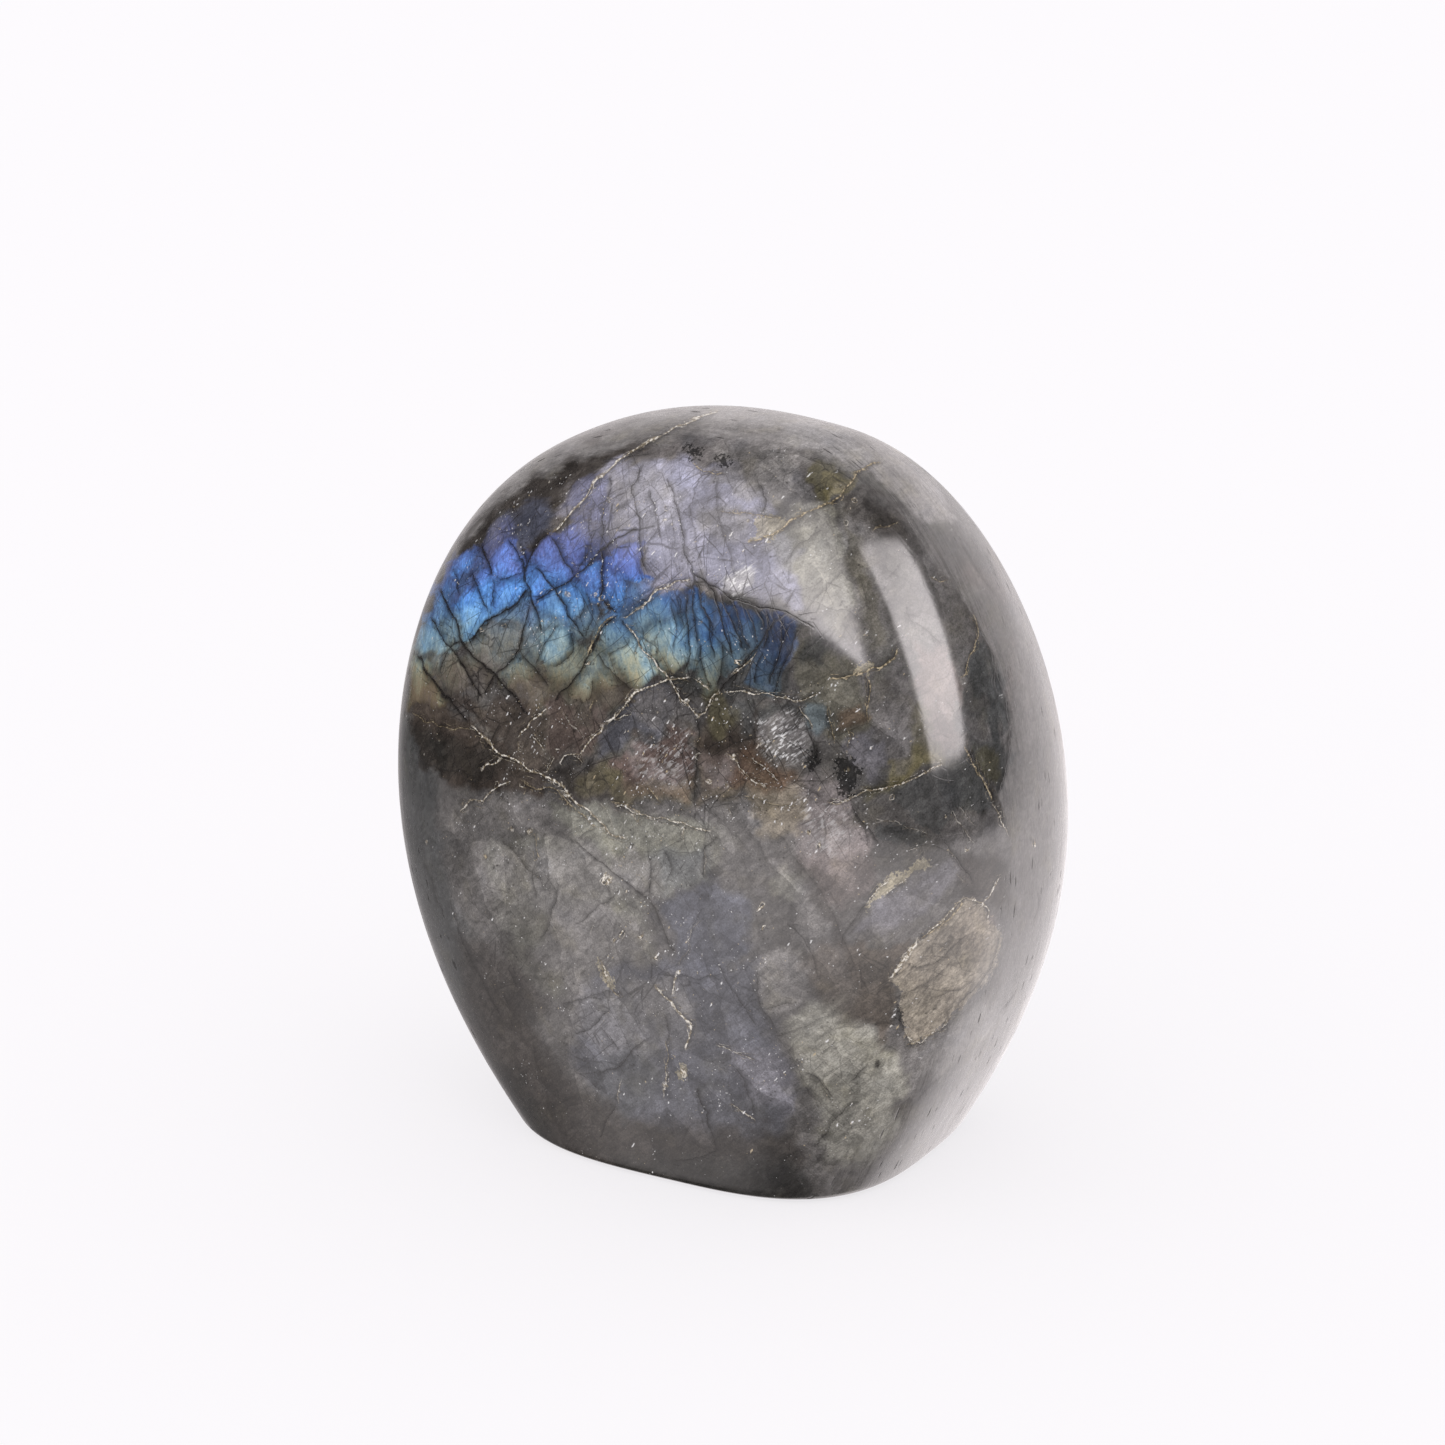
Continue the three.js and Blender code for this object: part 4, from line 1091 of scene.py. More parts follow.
def paint_finish_and_sheen(places):
    """Polish of the broad faces against the satin edge, closeness of the fine cracks, bright
    flecks, and where a silky glimmer is painted as sheen."""
    points = places.points
    bearing = np.degrees(np.arctan2(points[:, 0] - RIM_CENTRE[0], points[:, 2] - RIM_CENTRE[1]))
    facing = places.facing_front + 0.02 * ripple(points, 8.0, 61)
    front = facing - np.interp(bearing, POLISH_BEARINGS, POLISH_FACING)
    polish = POLISH_SHARPNESS * np.maximum(front, -facing - POLISHED_BACK)
    x, y = places.shaken(1.2, 5.0, 62)
    seen = places.seen
    softness = 3.0 + 11.0 * soft_step(y - 0.3 * x, *EDGE_SOFTENS)
    edge = area_distance(x, y, POLISHED) / softness
    polish = np.clip(polish + (edge - polish) * seen, -1.0, 1.0)
    x, y = places.shaken(4.0, 6.0, 63)
    crackle = 0.34 + 0.25 * places.hidden + 0.16 * ripple(points, 12.0, 65)
    crackle = crackle + 0.42 * seen * area_share(x, y, CRACKLED, 16.0)
    flecked = 0.30 + 0.15 * ripple(points, 9.0, 67)
    for closeness, corners in ((0.65, FLECKED), (0.45, FLECKED_HIGH), (0.4, FLECKED_LOW)):
        flecked = flecked + closeness * seen * area_share(x, y, corners, 20.0)
    silk_sheen = np.zeros(x.shape)
    for strength, corners in ((1.0, SILKY), (1.0, SILKY_HOT), (0.35, SILKY_PLUM), (0.3, SILKY_BLUSH)):
        silk_sheen = np.maximum(silk_sheen, strength * area_share(x, y, corners, 8.0))
    return np.stack((polish, np.clip(crackle, 0.0, 1.0), np.clip(flecked, 0.0, 1.0), silk_sheen * seen), -1)


def rim_way(points):
    """Distances along and across the stone's edge, in metres: the angle round the outline's middle
    times a mean radius, and the depth from front to back."""
    angle = np.arctan2(points[:, 0] - RIM_CENTRE[0], points[:, 2] - RIM_CENTRE[1])
    turn = -TWIST * points[:, 2] / HEIGHT
    across = points[:, 0] * np.sin(turn) + points[:, 1] * np.cos(turn)
    return np.stack((angle * RIM_RADIUS, across, np.zeros(len(points))), -1) * MM


def store(mesh, name, values, kind="FLOAT_COLOR", key="color"):
    """Stores a row of values for every point of the mesh."""
    layer = mesh.attributes.new(name, kind, "POINT")
    layer.data.foreach_set(key, np.ascontiguousarray(values, dtype=np.float32).ravel())


def paint_stone(mesh):
    """Works out every painted field for the mesh's points and stores it; returns the number of
    vein layers."""
    count = len(mesh.vertices)
    points, normals = np.empty(count * 3), np.empty(count * 3)
    mesh.vertices.foreach_get("co", points)
    mesh.vertex_normals.foreach_get("vector", normals)
    places = Places(points.reshape(-1, 3) / MM, normals.reshape(-1, 3))
    sheets = fractures(places)
    opaque = np.ones((count, 1))
    store(mesh, "tint", np.concatenate((paint_tint(places, sheets), opaque), 1))
    store(mesh, "flash", paint_flash(places, sheets))
    store(mesh, "inlays", paint_inlays(places))
    store(mesh, "finish_and_sheen", paint_finish_and_sheen(places))
    store(mesh, "rim_way", rim_way(places.points), "FLOAT_VECTOR", "vector")
    layers = fill_layers(place_veins(places, sheets), count)
    for number, values in enumerate(layers, 1):
        store(mesh, f"vein_{number}", values)
    return len(layers)


def make_stone():
    crown = (*LEAN, HEIGHT - DRAWN_IN)
    mesh = closed_mesh("labradorite_skin", stone_grid(), (0.0, 0.0, 0.0), crown)
    stone = bpy.data.objects.new("labradorite_skin", mesh)
    bpy.context.collection.objects.link(stone)
    return stone


class Nodes:
    """A node tree with short calls for the few kinds of node that the materials use."""

    def __init__(self, tree):
        self.tree = tree
        tree.nodes.clear()

    def put(self, socket, value):
        if isinstance(value, bpy.types.NodeSocket):
            self.tree.links.new(value, socket)
        else:
            socket.default_value = value

    def add(self, kind, settings=(), **inputs):
        node = self.tree.nodes.new(kind)
        for key, value in dict(settings).items():
            setattr(node, key, value)
        for key, value in inputs.items():
            self.put(node.inputs[key], value)
        return node

    def math(self, operation, a, b=0.0):
        node = self.add("ShaderNodeMath", {"operation": operation})
        for socket, value in zip(node.inputs, (a, b)):
            self.put(socket, value)
        return node.outputs[0]

    def dot(self, vector, fixed):
        node = self.add("ShaderNodeVectorMath", {"operation": "DOT_PRODUCT"})
        self.put(node.inputs[0], vector)
        node.inputs[1].default_value = fixed
        return node.outputs["Value"]

    def step(self, value, low, high, out_low=0.0, out_high=1.0):
        """Smooth step from out_low at low to out_high at high."""
        node = self.add("ShaderNodeMapRange", {"interpolation_type": "SMOOTHSTEP"})
        for key, number in zip(("Value", "From Min", "From Max", "To Min", "To Max"),
                               (value, low, high, out_low, out_high)):
            self.put(node.inputs[key], number)
        return node.outputs["Result"]

    def chain(self, operation, values):
        result = values[0]
        for value in values[1:]:
            result = self.math(operation, result, value)
        return result

    def sum(self, *values):
        return self.chain("ADD", values)

    def times(self, *values):
        return self.chain("MULTIPLY", values)

    def largest(self, *values):
        return self.chain("MAXIMUM", values)

    def field(self, name):
        """A painted field of the mesh."""
        return self.add("ShaderNodeAttribute", {"attribute_name": name})

    def channels(self, colour):
        """The three channels of a colour."""
        return list(self.add("ShaderNodeSeparateColor", Color=colour).outputs)[:3]

    def blend(self, share, first, second, kind="MIX"):
        """The second colour over the first, by a share."""
        node = self.add("ShaderNodeMix", {"data_type": "RGBA", "blend_type": kind})
        for index, value in ((0, share), (6, first), (7, second)):
            self.put(node.inputs[index], value)
        return node.outputs[2]

    def scale_colour(self, colour, amount):
        node = self.add("ShaderNodeVectorMath", {"operation": "SCALE"})
        self.put(node.inputs[0], colour)
        self.put(node.inputs["Scale"], amount)
        return node.outputs[0]

    def noise(self, place, size, detail=2.0):
        """Noise with features about size millimetres across."""
        node = self.add("ShaderNodeTexNoise", Vector=place, Scale=1.0 / (size * MM), Detail=detail)
        return node.outputs[0]

    def cells(self, place, size):
        return self.add("ShaderNodeTexVoronoi", Vector=place, Scale=1.0 / (size * MM))

    def cell_edge(self, place, size):
        """Distance to the nearest cell wall, in cells."""
        settings = {"feature": "DISTANCE_TO_EDGE"}
        node = self.add("ShaderNodeTexVoronoi", settings, Vector=place, Scale=1.0 / (size * MM))
        return node.outputs["Distance"]

    def turned(self, place, turn, factors):
        """Coordinates turned to a direction of the stone, then stretched."""
        node = self.add("ShaderNodeMapping", {"vector_type": "TEXTURE"}, Vector=place)
        node.inputs["Rotation"].default_value = turn
        return self.stretched(node.outputs[0], factors)

    def stretched(self, place, factors):
        node = self.add("ShaderNodeVectorMath", {"operation": "MULTIPLY"})
        self.put(node.inputs[0], place)
        node.inputs[1].default_value = factors
        return node.outputs[0]

    def shift(self, place, waver, amount):
        """Coordinates moved about by a colour, by up to half an amount in millimetres."""
        node = self.add("ShaderNodeVectorMath", {"operation": "MULTIPLY_ADD"})
        self.put(node.inputs[0], waver)
        node.inputs[1].default_value = (amount * MM,) * 3
        self.put(node.inputs[2], place)
        return node.outputs[0]

    def ramp(self, value, stops):
        """Colour from a list of places and colours."""
        node = self.add("ShaderNodeValToRGB", Fac=value)
        elements = node.color_ramp.elements
        for spot, colour in stops[2:]:
            elements.new(spot)
        for element, (spot, colour) in zip(elements, stops):
            element.position = spot
            element.color = (*colour, 1.0)
        return node.outputs[0]


def new_material(name):
    """An empty material and the short calls for its nodes."""
    material = bpy.data.materials.new(name)
    material.use_nodes = True
    return material, Nodes(material.node_tree)


# The ball of mirrored surroundings: its radius in metres, its colour and the dark room's glow.
TENT_RADIUS = 3.0
TENT_COLOUR = (1.0, 0.94, 0.95, 1.0)
ROOM_GLOW = 0.025


def level_way(bearing):
    """Level unit vector at a bearing in degrees, from the photographer's side round to the right."""
    turn = math.radians(bearing) + VIEW_AZIMUTH
    return math.sin(turn), -math.cos(turn), 0.0


def tent_glow(nodes):
    """What the polish mirrors, by direction: a large lamp overhead, a strip lamp at the right, the
    white backdrop behind, the white table below, and the dark room between them."""
    step, times, largest = nodes.step, nodes.times, nodes.largest
    place = nodes.add("ShaderNodeTexCoord").outputs["Object"]
    unit = nodes.add("ShaderNodeVectorMath", {"operation": "NORMALIZE"})
    nodes.put(unit.inputs[0], place)
    way = unit.outputs[0]
    front, right = nodes.dot(way, level_way(0.0)), nodes.dot(way, level_way(90.0))
    up = nodes.dot(way, (0.0, 0.0, 1.0))
    bearing = nodes.math("DEGREES", nodes.math("ARCTAN2", right, front))

    # Overhead lamp, a flat panel: its near edge, its bent right edge and its soft left edge.
    near = nodes.sum(times(up, 2.31), times(right, 0.6), times(front, -1.0))
    lean = step(nodes.math("DIVIDE", front, largest(up, 0.05)), -0.16, 0.36, 0.566, 0.006)
    far = nodes.sum(right, times(front, -0.35), times(up, lean))
    left = nodes.sum(right, times(up, 2.3))
    back = nodes.sum(front, times(right, 0.66), times(up, 1.52))
    over = times(step(near, 0.0, 0.06), step(far, 0.03, -0.12), step(left, -0.08, 0.2),
                 step(back, -0.25, 0.2), step(up, 0.30, 0.36))
    tip = nodes.dot(way, tuple(-0.19 * r + 0.96 * f - 0.2 * z
                               for r, f, z in zip(level_way(90.0), level_way(0.0), (0, 0, 1))))
    tip = nodes.math("EXPONENT", times(nodes.sum(tip, -1.0), 4.54))
    over = times(over, nodes.sum(times(tip, 19.8), 1.8))

    # Strip lamp: a tall panel at a bearing of 72, wider towards its slanting top.
    depth = largest(nodes.dot(way, level_way(72.0)), 0.001)
    aside = nodes.math("DIVIDE", nodes.dot(way, level_way(162.0)), depth)
    high = nodes.math("DIVIDE", up, depth)
    strip = times(step(nodes.sum(aside, times(high, 0.15)), -0.32, -0.26),
                  step(nodes.sum(aside, times(high, -0.26)), 0.245, 0.195),
                  step(high, -0.085, -0.04), step(high, -0.05, 0.2, 0.85, 1.0),
                  step(high, 0.4, 1.1, 8.4, 5.5),
                  step(nodes.sum(high, times(aside, 0.75)), 1.35, 1.1))

    # Backdrop: behind, from a bearing of 107 on the right round to 215, dimmer high up and far round.
    level = nodes.math("SQRT", largest(nodes.sum(1.0, times(up, up, -1.0)), 0.0001))
    behind = nodes.math("DIVIDE", nodes.dot(way, level_way(161.0)), level)
    rightmost = nodes.math("DIVIDE", nodes.dot(way, level_way(120.0)), level)
    white = nodes.sum(step(rightmost, -0.1, 0.4, 0.4, 1.1), step(rightmost, 0.72, 0.92, 0.0, 0.9))
    backdrop = times(step(behind, 0.56, 0.62), step(up, 0.60, 0.40, 0.3, 1.0), white)

    # Table: below 18 degrees down, brightest towards the photographer, dimmer under the stone.
    bright = largest(step(bearing, -95.0, -45.0, 0.5, 1.8), step(bearing, -60.0, -5.0, 0.5, 2.0))
    distance = step(bearing, -50.0, 0.0, 0.5, 1.0)
    table = times(step(up, -0.300, -0.318), bright, step(up, -0.48, -0.80, 1.0, 0.04),
                  largest(step(up, -0.31, -0.48), distance))

    lamps = largest(over, strip)
    whites = largest(backdrop, table)
    return nodes.sum(largest(lamps, whites), ROOM_GLOW)


def make_tent():
    """The mirrored surroundings, a large ball that only reflections see."""
    bpy.ops.mesh.primitive_uv_sphere_add(segments=48, ring_count=24, radius=TENT_RADIUS)
    tent = bpy.context.object
    tent.name = "light_tent"
    material, nodes = new_material("tent_glow")
    glow = nodes.add("ShaderNodeEmission", Color=TENT_COLOUR, Strength=tent_glow(nodes))
    nodes.add("ShaderNodeOutputMaterial", Surface=glow.outputs[0])
    material.cycles.emission_sampling = "NONE"
    tent.data.materials.append(material)
    tent.visible_camera = False
    tent.visible_diffuse = False
    tent.visible_shadow = False
    tent.visible_transmission = False


# The floor in metres, its colour, and how much of it is lit by the room instead of from within.
FLOOR_SIZE = 12.0
FLOOR_LEVEL = -0.0002
FLOOR_WHITE = (0.988, 0.971, 0.992, 1.0)
MATT_SHARE = 0.25


def make_floor():
    """A pale floor, lit mostly from within so that it stays even, with a soft contact shadow."""
    bpy.ops.mesh.primitive_plane_add(size=FLOOR_SIZE, location=(0.0, 0.0, FLOOR_LEVEL))
    floor = bpy.context.object
    floor.name = "pale_floor"
    material, nodes = new_material("pale_floor")
    glow = nodes.add("ShaderNodeEmission", Color=FLOOR_WHITE, Strength=1.0)
    matt = nodes.add("ShaderNodeBsdfDiffuse", Color=FLOOR_WHITE)
    mix = nodes.add("ShaderNodeMixShader", Fac=MATT_SHARE)
    nodes.tree.links.new(glow.outputs[0], mix.inputs[1])
    nodes.tree.links.new(matt.outputs[0], mix.inputs[2])
    nodes.add("ShaderNodeOutputMaterial", Surface=mix.outputs[0])
    material.cycles.emission_sampling = "NONE"
    floor.data.materials.append(material)
    floor.visible_glossy = False


def make_world():
    world = bpy.data.worlds.new("pale_room")
    bpy.context.scene.world = world
    world.use_nodes = True
    nodes = Nodes(world.node_tree)
    sky = nodes.add("ShaderNodeBackground", Color=FLOOR_WHITE, Strength=1.0)
    nodes.add("ShaderNodeOutputWorld", Surface=sky.outputs[0])
    world.cycles_visibility.glossy = False


def make_camera():
    data = bpy.data.cameras.new("camera")
    camera = bpy.data.objects.new("camera", data)
    bpy.context.collection.objects.link(camera)
    data.sensor_width = SENSOR
    data.lens = SENSOR * VIEW_DISTANCE * PIXELS_PER_MM / PHOTO_SIDE
    data.shift_x = (PHOTO_SIDE / 2 - TARGET_PIXEL[0]) / PHOTO_SIDE
    data.shift_y = (TARGET_PIXEL[1] - PHOTO_SIDE / 2) / PHOTO_SIDE
    data.clip_end = CLIP_END
    camera.location = (VIEW_TARGET + VIEW_DISTANCE * towards_viewer()) * MM
    camera.rotation_euler = (math.pi / 2 - VIEW_ELEVATION, 0.0, VIEW_AZIMUTH)
    bpy.context.scene.camera = camera


# The flash's colours by their place along the spectrum.
FLASH_SPECTRUM = (
    (0.00, (0.190, 0.202, 0.350)),
    (0.14, (0.142, 0.180, 0.450)),
    (0.26, (0.120, 0.210, 0.560)),
    (0.40, (0.110, 0.290, 0.700)),
    (0.52, (0.165, 0.365, 0.660)),
    (0.62, (0.225, 0.390, 0.520)),
    (0.70, (0.290, 0.410, 0.450)),
    (0.78, (0.310, 0.350, 0.290)),
    (0.85, (0.260, 0.245, 0.165)),
    (0.92, (0.160, 0.125, 0.080)),
    (1.00, (0.090, 0.072, 0.058)),
)

# Linear colours of the cracks and the painted shade beside them, the veins, the flecks and the painted
# glimmer, and the pits.
CRACK_AND_SHADE_DARK = (0.012, 0.010, 0.009, 1.0)
VEIN_GOLD_DULL = (0.150, 0.115, 0.062, 1.0)
VEIN_GOLD_BRIGHT = (0.560, 0.460, 0.300, 1.0)
VEIN_WHITE_DULL = (0.270, 0.220, 0.145, 1.0)
VEIN_WHITE_BRIGHT = (0.860, 0.810, 0.720, 1.0)
FLECK_AND_GLIMMER_WHITE = (0.850, 0.840, 0.830, 1.0)
FLECK_GOLD = (0.520, 0.420, 0.270, 1.0)
PIT_DARK = (0.020, 0.017, 0.016, 1.0)

# What the body colour is multiplied by where it drifts.
WARMER = (1.08, 1.05, 0.88, 1.0)
COOLER = (0.96, 0.99, 1.06, 1.0)

# The directions in which the stone's streaks, cleavage and fine cracks run.
STREAK_TURN = (0.0, math.radians(-24.0), 0.0)
RISING_TURN = (0.0, math.radians(46.0), 0.0)
FALLING_TURN = (0.0, math.radians(-36.0), 0.0)
GLINT_TURN = (0.0, math.radians(30.0), 0.0)
BLOCK_TURN = (0.0, math.radians(-30.0), math.radians(15.0))

# How far the painted shade beside a crack reaches in millimetres, and how dark it and the crack are.
CRACK_SHADE_REACH = 0.36
CRACK_SHADE_STRENGTH = 0.52
CRACK_STRENGTH = 0.90

STONE_IOR = 1.56


def vein_masks(nodes, number, jitter, sway, swell):
    """Dark, gold and white line masks from one painted vein layer, a painted shade beside the line, and
    painted light and shade to either side, lighter on one side and darker on the other. A thinner second
    strand sways about each line."""
    step, times = nodes.step, nodes.times
    layer = nodes.field(f"vein_{number}")
    away, shown, tone = nodes.channels(layer.outputs["Color"])
    width = times(layer.outputs["Alpha"], swell)
    distance = nodes.math("ABSOLUTE", nodes.sum(away, jitter))
    aside = nodes.math("ABSOLUTE", nodes.sum(away, sway))
    line = step(distance, times(width, 1.25), times(width, 0.15))
    strand = step(aside, times(width, 0.6), times(width, 0.1), 0.0, 0.7)
    line = times(nodes.largest(line, strand), shown)
    crack_shade = times(step(distance, nodes.sum(width, CRACK_SHADE_REACH), 0.0), shown)
    gold = times(step(tone, 0.2, 0.4), step(tone, 0.8, 0.6))
    white = step(tone, 0.65, 0.85)
    dark = step(tone, 0.4, 0.1)
    tilt_light = times(step(nodes.sum(away, jitter), -0.04, 0.04, -1.0, 1.0), shown,
                 step(distance, 0.75, 0.0), nodes.math("LESS_THAN", layer.outputs["Alpha"], 0.19))
    return times(line, dark), times(line, gold), times(line, white), crack_shade, tilt_light


def random_parts(nodes, cells):
    """Three random numbers for each cell of a cell pattern."""
    return nodes.channels(cells.outputs["Color"])


def flecks(nodes, place, size, share, largest):
    """Round or drawn-out spots, one to a cell at most, with random radii; also their random tone."""
    cells = nodes.cells(place, size)
    chance, scale, tone = random_parts(nodes, cells)
    radius = nodes.times(nodes.step(scale, 0.0, 1.0, 0.35, 1.0), largest)
    spot = nodes.step(cells.outputs["Distance"], radius, nodes.times(radius, 0.4))
    return nodes.times(spot, nodes.math("LESS_THAN", chance, share)), tone


def stone_material(layers):
    """The stone's material: painted body colour, the flash painted into it as a sheen, veins, painted
    shade beside the cracks and a painted silky sheen from the mesh's attributes, with fine grain,
    cracks, flecks and pits worked out in the stone's own coordinates."""
    material, nodes = new_material("polished_labradorite")
    step, times, largest, noise, blend = nodes.step, nodes.times, nodes.largest, nodes.noise, nodes.blend
    place = nodes.add("ShaderNodeTexCoord").outputs["Object"]
    finish_and_sheen = nodes.field("finish_and_sheen")
    face, crackle, flecked = nodes.channels(finish_and_sheen.outputs["Color"])
    silk_sheen = finish_and_sheen.outputs["Alpha"]

    # Waver, and places turned to the streaks, the cleavage and the cracks.
    waver = nodes.add("ShaderNodeTexNoise", Vector=place, Scale=250.0, Detail=4.0).outputs["Color"]
    blocked = nodes.shift(nodes.turned(place, BLOCK_TURN, (1.0, 0.8, 0.6)), waver, 2.0)
    rising = nodes.shift(nodes.turned(place, RISING_TURN, (1.0, 0.5, 0.24)), waver, 0.5)
    falling = nodes.shift(nodes.turned(place, FALLING_TURN, (1.0, 0.5, 0.24)), waver, 0.5)
    steep = nodes.turned(place, STREAK_TURN, (1.0, 1.0, 0.11))

    # Lines: masks of the painted cracks and veins, which shake, sway and swell a little.
    grain = noise(place, 0.18, detail=3.0)
    jitter = nodes.sum(step(noise(place, 0.9), 0.2, 0.8, -0.08, 0.08), step(grain, 0.1, 0.9, -0.05, 0.05))
    sway = nodes.sum(step(noise(place, 1.7, detail=3.0), 0.2, 0.8, -0.42, 0.42), jitter)
    swell = step(noise(place, 0.7), 0.30, 0.75, 0.62, 1.35)
    polish = step(nodes.sum(face, times(jitter, 4.0)), -0.7, 0.7)
    satin = nodes.math("SUBTRACT", 1.0, polish)
    masks = [vein_masks(nodes, number, jitter, sway, swell) for number in range(1, layers + 1)]
    dark, gold, white, crack_shade = (largest(*group) for group in list(zip(*masks))[:4])
    # Painted light and shade beside the cracks: lighter on one side, darker on the other.
    tilt_light = nodes.sum(1.0, times(nodes.sum(*(mask[4] for mask in masks)), 0.26))
    speckle = noise(place, 0.33)
    beads = step(speckle, 0.44, 0.62)
    gold = times(gold, step(speckle, 0.34, 0.50, 0.50, 1.0))
    white = times(white, step(speckle, 0.34, 0.50, 0.60, 1.0))

    # Body: the painted tint, clouded at several sizes, in blocks that tilt a little differently, with
    # painted light and shade to either side of the cracks.
    colour = nodes.field("tint").outputs["Color"]
    cloud = noise(place, 5.0, detail=5.0)
    mottle = noise(place, 1.0, detail=5.0)
    fibre = noise(rising, 0.28, detail=3.0)
    block = random_parts(nodes, nodes.cells(blocked, 5.2))
    chip = random_parts(nodes, nodes.cells(blocked, 2.1))
    grit = random_parts(nodes, nodes.cells(nodes.turned(place, RISING_TURN, (1.0, 0.6, 0.4)), 0.55))
    blocks = times(step(block[0], 0.0, 1.0, 0.82, 1.22), step(chip[0], 0.0, 1.0, 0.86, 1.16),
                   step(grit[0], 0.0, 1.0, 0.86, 1.16))
    blocks = nodes.sum(1.0, times(nodes.sum(blocks, -1.0), polish))
    value = times(step(cloud, 0.25, 0.75, 0.84, 1.16), step(mottle, 0.25, 0.75, 0.84, 1.16),
                  step(grain, 0.2, 0.8, 0.70, 1.30), step(fibre, 0.2, 0.8, 0.82, 1.18), blocks, tilt_light)
    inlays = nodes.field("inlays")
    depths = nodes.channels(inlays.outputs["Color"]) + [inlays.outputs["Alpha"]]
    frayed = step(speckle, 0.3, 0.7, -1.0, 1.0)
    shares = []
    for depth, (tone, cover, fray, _) in zip(depths, INLAYS):
        inside = step(nodes.sum(depth, jitter, times(frayed, fray)), -0.06, 0.06, 0.0, cover)
        colour = blend(inside, colour, (*tone, 1.0))
        shares.append(inside)
    feather = times(largest(*shares[:2]), step(fibre, 0.32, 0.68, -0.16, 0.22))
    colour = nodes.scale_colour(colour, times(value, nodes.sum(1.0, feather)))
    drift = noise(place, 3.3, detail=3.0)
    colour = blend(step(drift, 0.52, 0.75, 0.0, 0.5), colour, WARMER, "MULTIPLY")
    colour = blend(step(drift, 0.48, 0.25, 0.0, 0.5), colour, COOLER, "MULTIPLY")

    # Flash: the labradorescent sheen painted into the base colour, as the spectrum streaked steeply down
    # the face and shifted from block to block.
    flash = nodes.field("flash")
    start, strength, bright = nodes.channels(flash.outputs["Color"])
    streaks = noise(steep, 0.30, detail=3.0)
    along = nodes.sum(start, step(mottle, 0.2, 0.8, -0.04, 0.04),
                      step(streaks, 0.2, 0.8, -0.03, 0.03), step(chip[1], 0.0, 1.0, -0.03, 0.03))
    spectrum = nodes.ramp(along, FLASH_SPECTRUM)
    bright = times(bright, step(streaks, 0.25, 0.75, 0.82, 1.30),
                   step(chip[0], 0.0, 1.0, 0.92, 1.12), step(grain, 0.2, 0.8, 0.84, 1.22),
                   step(mottle, 0.3, 0.7, 0.90, 1.16), tilt_light)
    glow = nodes.scale_colour(spectrum, bright)
    patchy = step(noise(place, 2.4, detail=3.0), 0.25, 0.6, 0.84, 1.0)
    in_cell = step(nodes.sum(flash.outputs["Alpha"], jitter), -0.34, 0.08)
    colour = blend(times(strength, patchy, in_cell), colour, glow)

    # Silky glimmer: a painted sheen of bright close streaks.
    sheen = noise(nodes.turned(place, RISING_TURN, (5.0, 3.0, 1.2)), 1.2)
    glimmer = times(silk_sheen, step(sheen, 0.50, 0.60), step(mottle, 0.36, 0.58, 0.2, 1.0))
    colour = blend(times(glimmer, 0.85), colour, FLECK_AND_GLIMMER_WHITE)

    # Fine cracks between the painted ones.
    broken = step(noise(place, 2.4), 0.38, 0.58)
    other = step(noise(place, 3.1), 0.60, 0.42)
    wide = times(step(nodes.cell_edge(blocked, 5.2), 0.012, 0.003), crackle, 0.6)
    slant = times(step(nodes.cell_edge(falling, 2.0), 0.026, 0.006), crackle, broken, 0.85)
    cross = times(step(nodes.cell_edge(rising, 2.6), 0.020, 0.004), crackle, other, 0.85)
    cracks = times(largest(wide, slant, cross), step(satin, 0.2, 0.8, 1.0, 0.25))
    colour = blend(times(cracks, 0.85), colour, CRACK_AND_SHADE_DARK)

    # Painted shade beside the cracks, then the painted cracks and veins.
    colour = blend(times(crack_shade, CRACK_SHADE_STRENGTH), colour, CRACK_AND_SHADE_DARK)
    colour = blend(times(dark, CRACK_STRENGTH), colour, CRACK_AND_SHADE_DARK)
    colour = blend(gold, colour, blend(beads, VEIN_GOLD_DULL, VEIN_GOLD_BRIGHT))
    colour = blend(white, colour, blend(beads, VEIN_WHITE_DULL, VEIN_WHITE_BRIGHT))

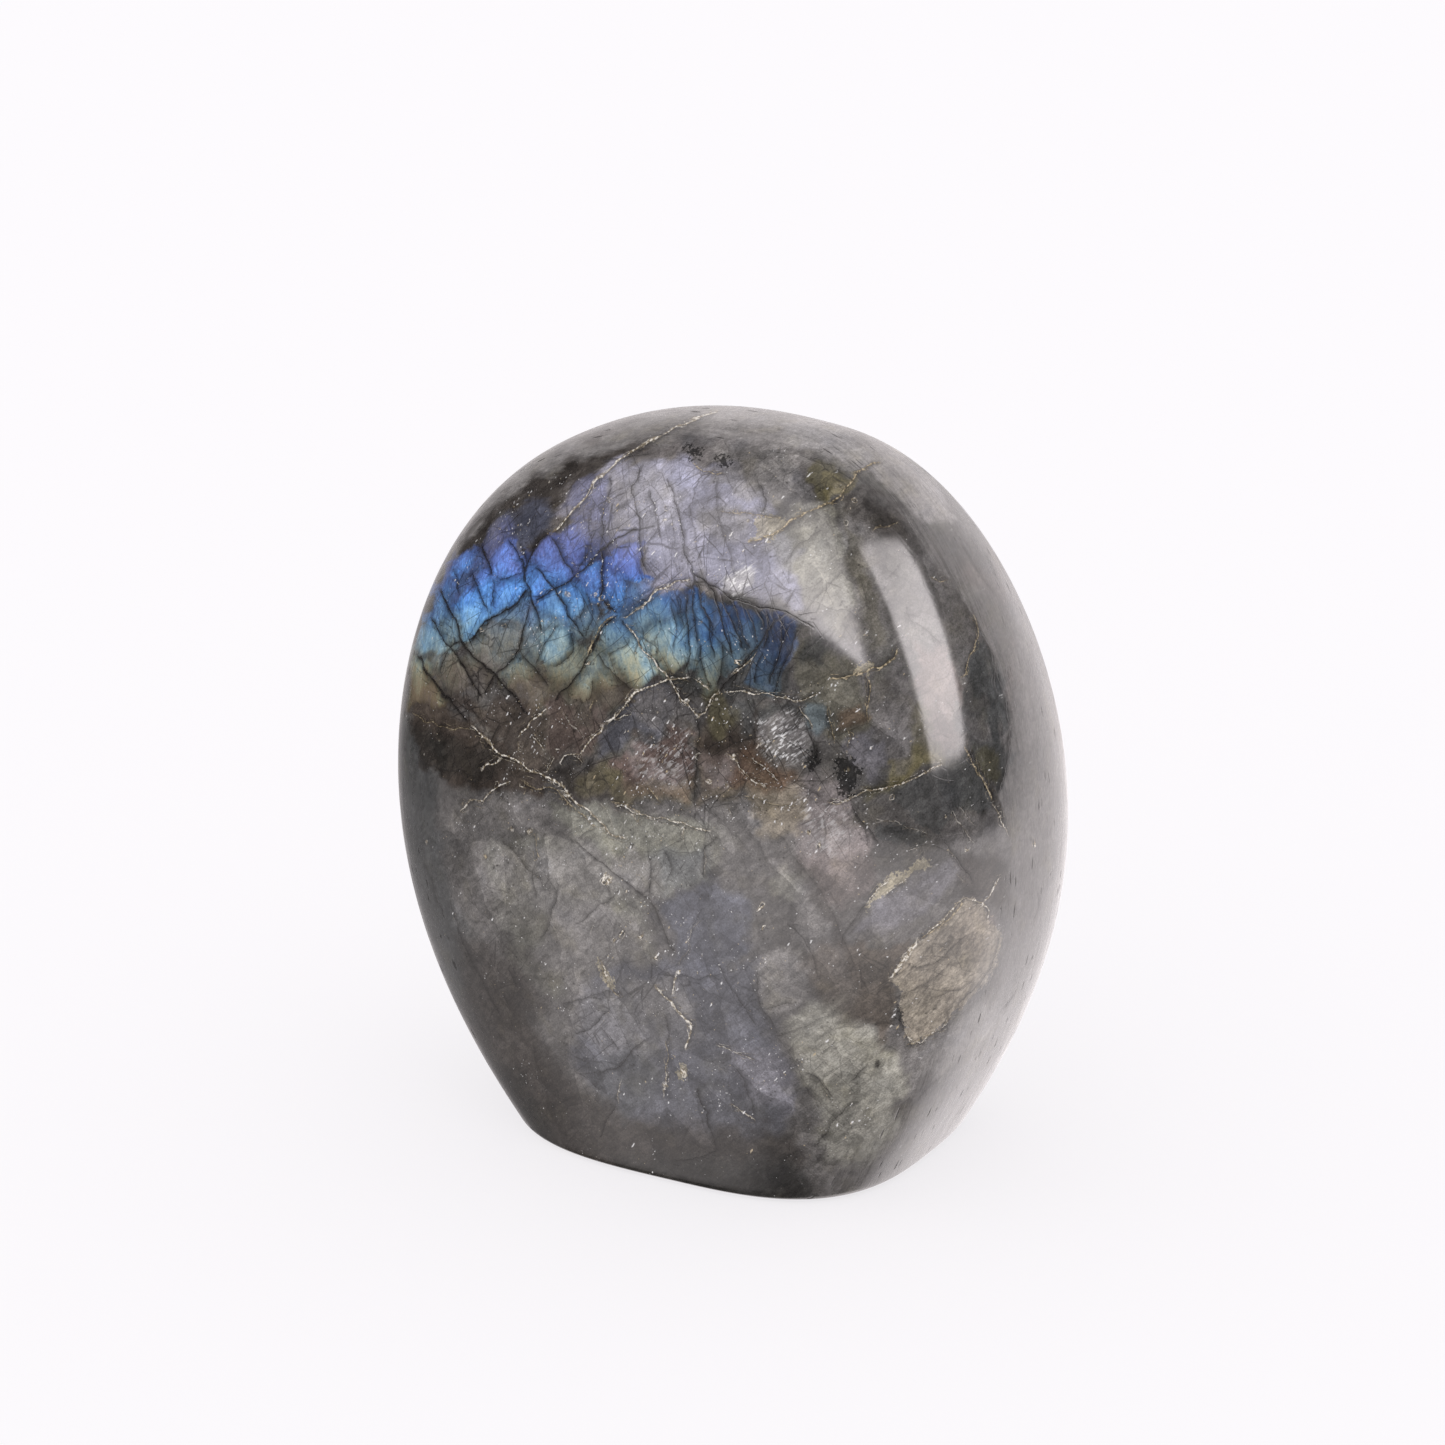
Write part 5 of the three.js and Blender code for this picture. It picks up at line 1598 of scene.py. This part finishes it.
    # Specks: tiny dark dots on the polish, and bright dots and short dashes, a few of them golden.
    scattered = nodes.shift(nodes.stretched(place, (1.0, 0.2, 1.0)), waver, 0.6)
    motes, _ = flecks(nodes, scattered, 0.62, 0.30, 0.26)
    colour = blend(times(motes, polish, 0.55), colour, CRACK_AND_SHADE_DARK)
    ragged = nodes.add("ShaderNodeTexNoise", Vector=place, Scale=2600.0, Detail=2.0).outputs["Color"]
    gathered = times(flecked, step(noise(rising, 1.6, detail=3.0), 0.42, 0.62, 0.35, 1.5))
    speckled = nodes.shift(nodes.stretched(place, (1.0, 0.15, 1.0)), ragged, 0.34)
    dots, dot_tone = flecks(nodes, speckled, 0.36, step(gathered, 0.0, 1.0, 0.03, 0.70), 0.28)
    dots = times(dots, step(dot_tone, 0.0, 1.0, 0.25, 1.0))
    dashed = nodes.shift(nodes.turned(place, GLINT_TURN, (1.0, 0.15, 0.34)), ragged, 0.30)
    dashes, dash_tone = flecks(nodes, dashed, 0.46, step(gathered, 0.2, 1.0, 0.0, 0.60), 0.26)
    fleck = times(largest(dots, dashes), step(satin, 0.2, 0.8, 0.85, 0.2))
    golden = step(largest(dot_tone, dash_tone), 0.86, 0.93)
    colour = blend(fleck, colour, blend(golden, FLECK_AND_GLIMMER_WHITE, FLECK_GOLD))

    # Satin edge: fine streaks along it and short dark pits.
    rim = nodes.field("rim_way").outputs["Vector"]
    brushed = noise(nodes.stretched(rim, (0.16, 2.2, 1.0)), 1.0, detail=3.0)
    pitted_place = nodes.shift(nodes.stretched(rim, (0.20, 1.15, 1.0)), waver, 0.4)
    gather = step(noise(place, 6.0), 0.38, 0.62, 0.12, 0.62)
    pits, pit_tone = flecks(nodes, pitted_place, 0.62, gather, 0.33)
    pitted = times(pits, step(satin, 0.3, 0.8), step(pit_tone, 0.0, 0.6, 0.5, 1.0))
    colour = blend(times(pitted, 0.9), colour, PIT_DARK)
    streaked = times(satin, step(brushed, 0.3, 0.7, -0.09, 0.10))
    colour = nodes.scale_colour(colour, nodes.sum(1.0, streaked))

    # Gloss, and the small relief of cracks, pits and streaks.
    rough = nodes.sum(step(polish, 0.0, 1.0, 0.26, 0.10), step(mottle, 0.3, 0.8, 0.0, 0.03),
                      times(satin, step(brushed, 0.3, 0.7, -0.04, 0.06)),
                      times(largest(dark, gold, cracks, fleck), 0.16), times(pitted, 0.3))
    relief = nodes.sum(times(dark, -0.006), times(cracks, -0.004),
                       times(pitted, -0.07), times(satin, brushed, 0.006))
    bump = nodes.add("ShaderNodeBump", Height=relief)
    bump.inputs["Distance"].default_value = MM

    shader = nodes.add("ShaderNodeBsdfPrincipled", Normal=bump.outputs[0], Roughness=rough)
    nodes.put(shader.inputs["Base Color"], colour)
    shader.inputs["IOR"].default_value = STONE_IOR
    nodes.add("ShaderNodeOutputMaterial", Surface=shader.outputs[0])
    return material


stone = make_stone()
layers = paint_stone(stone.data)
stone.data.materials.append(stone_material(layers))
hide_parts("labradorite_stone")
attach(stone, "root")

make_floor()
make_world()
make_tent()
make_camera()
bpy.context.scene.view_settings.view_transform = "Standard"
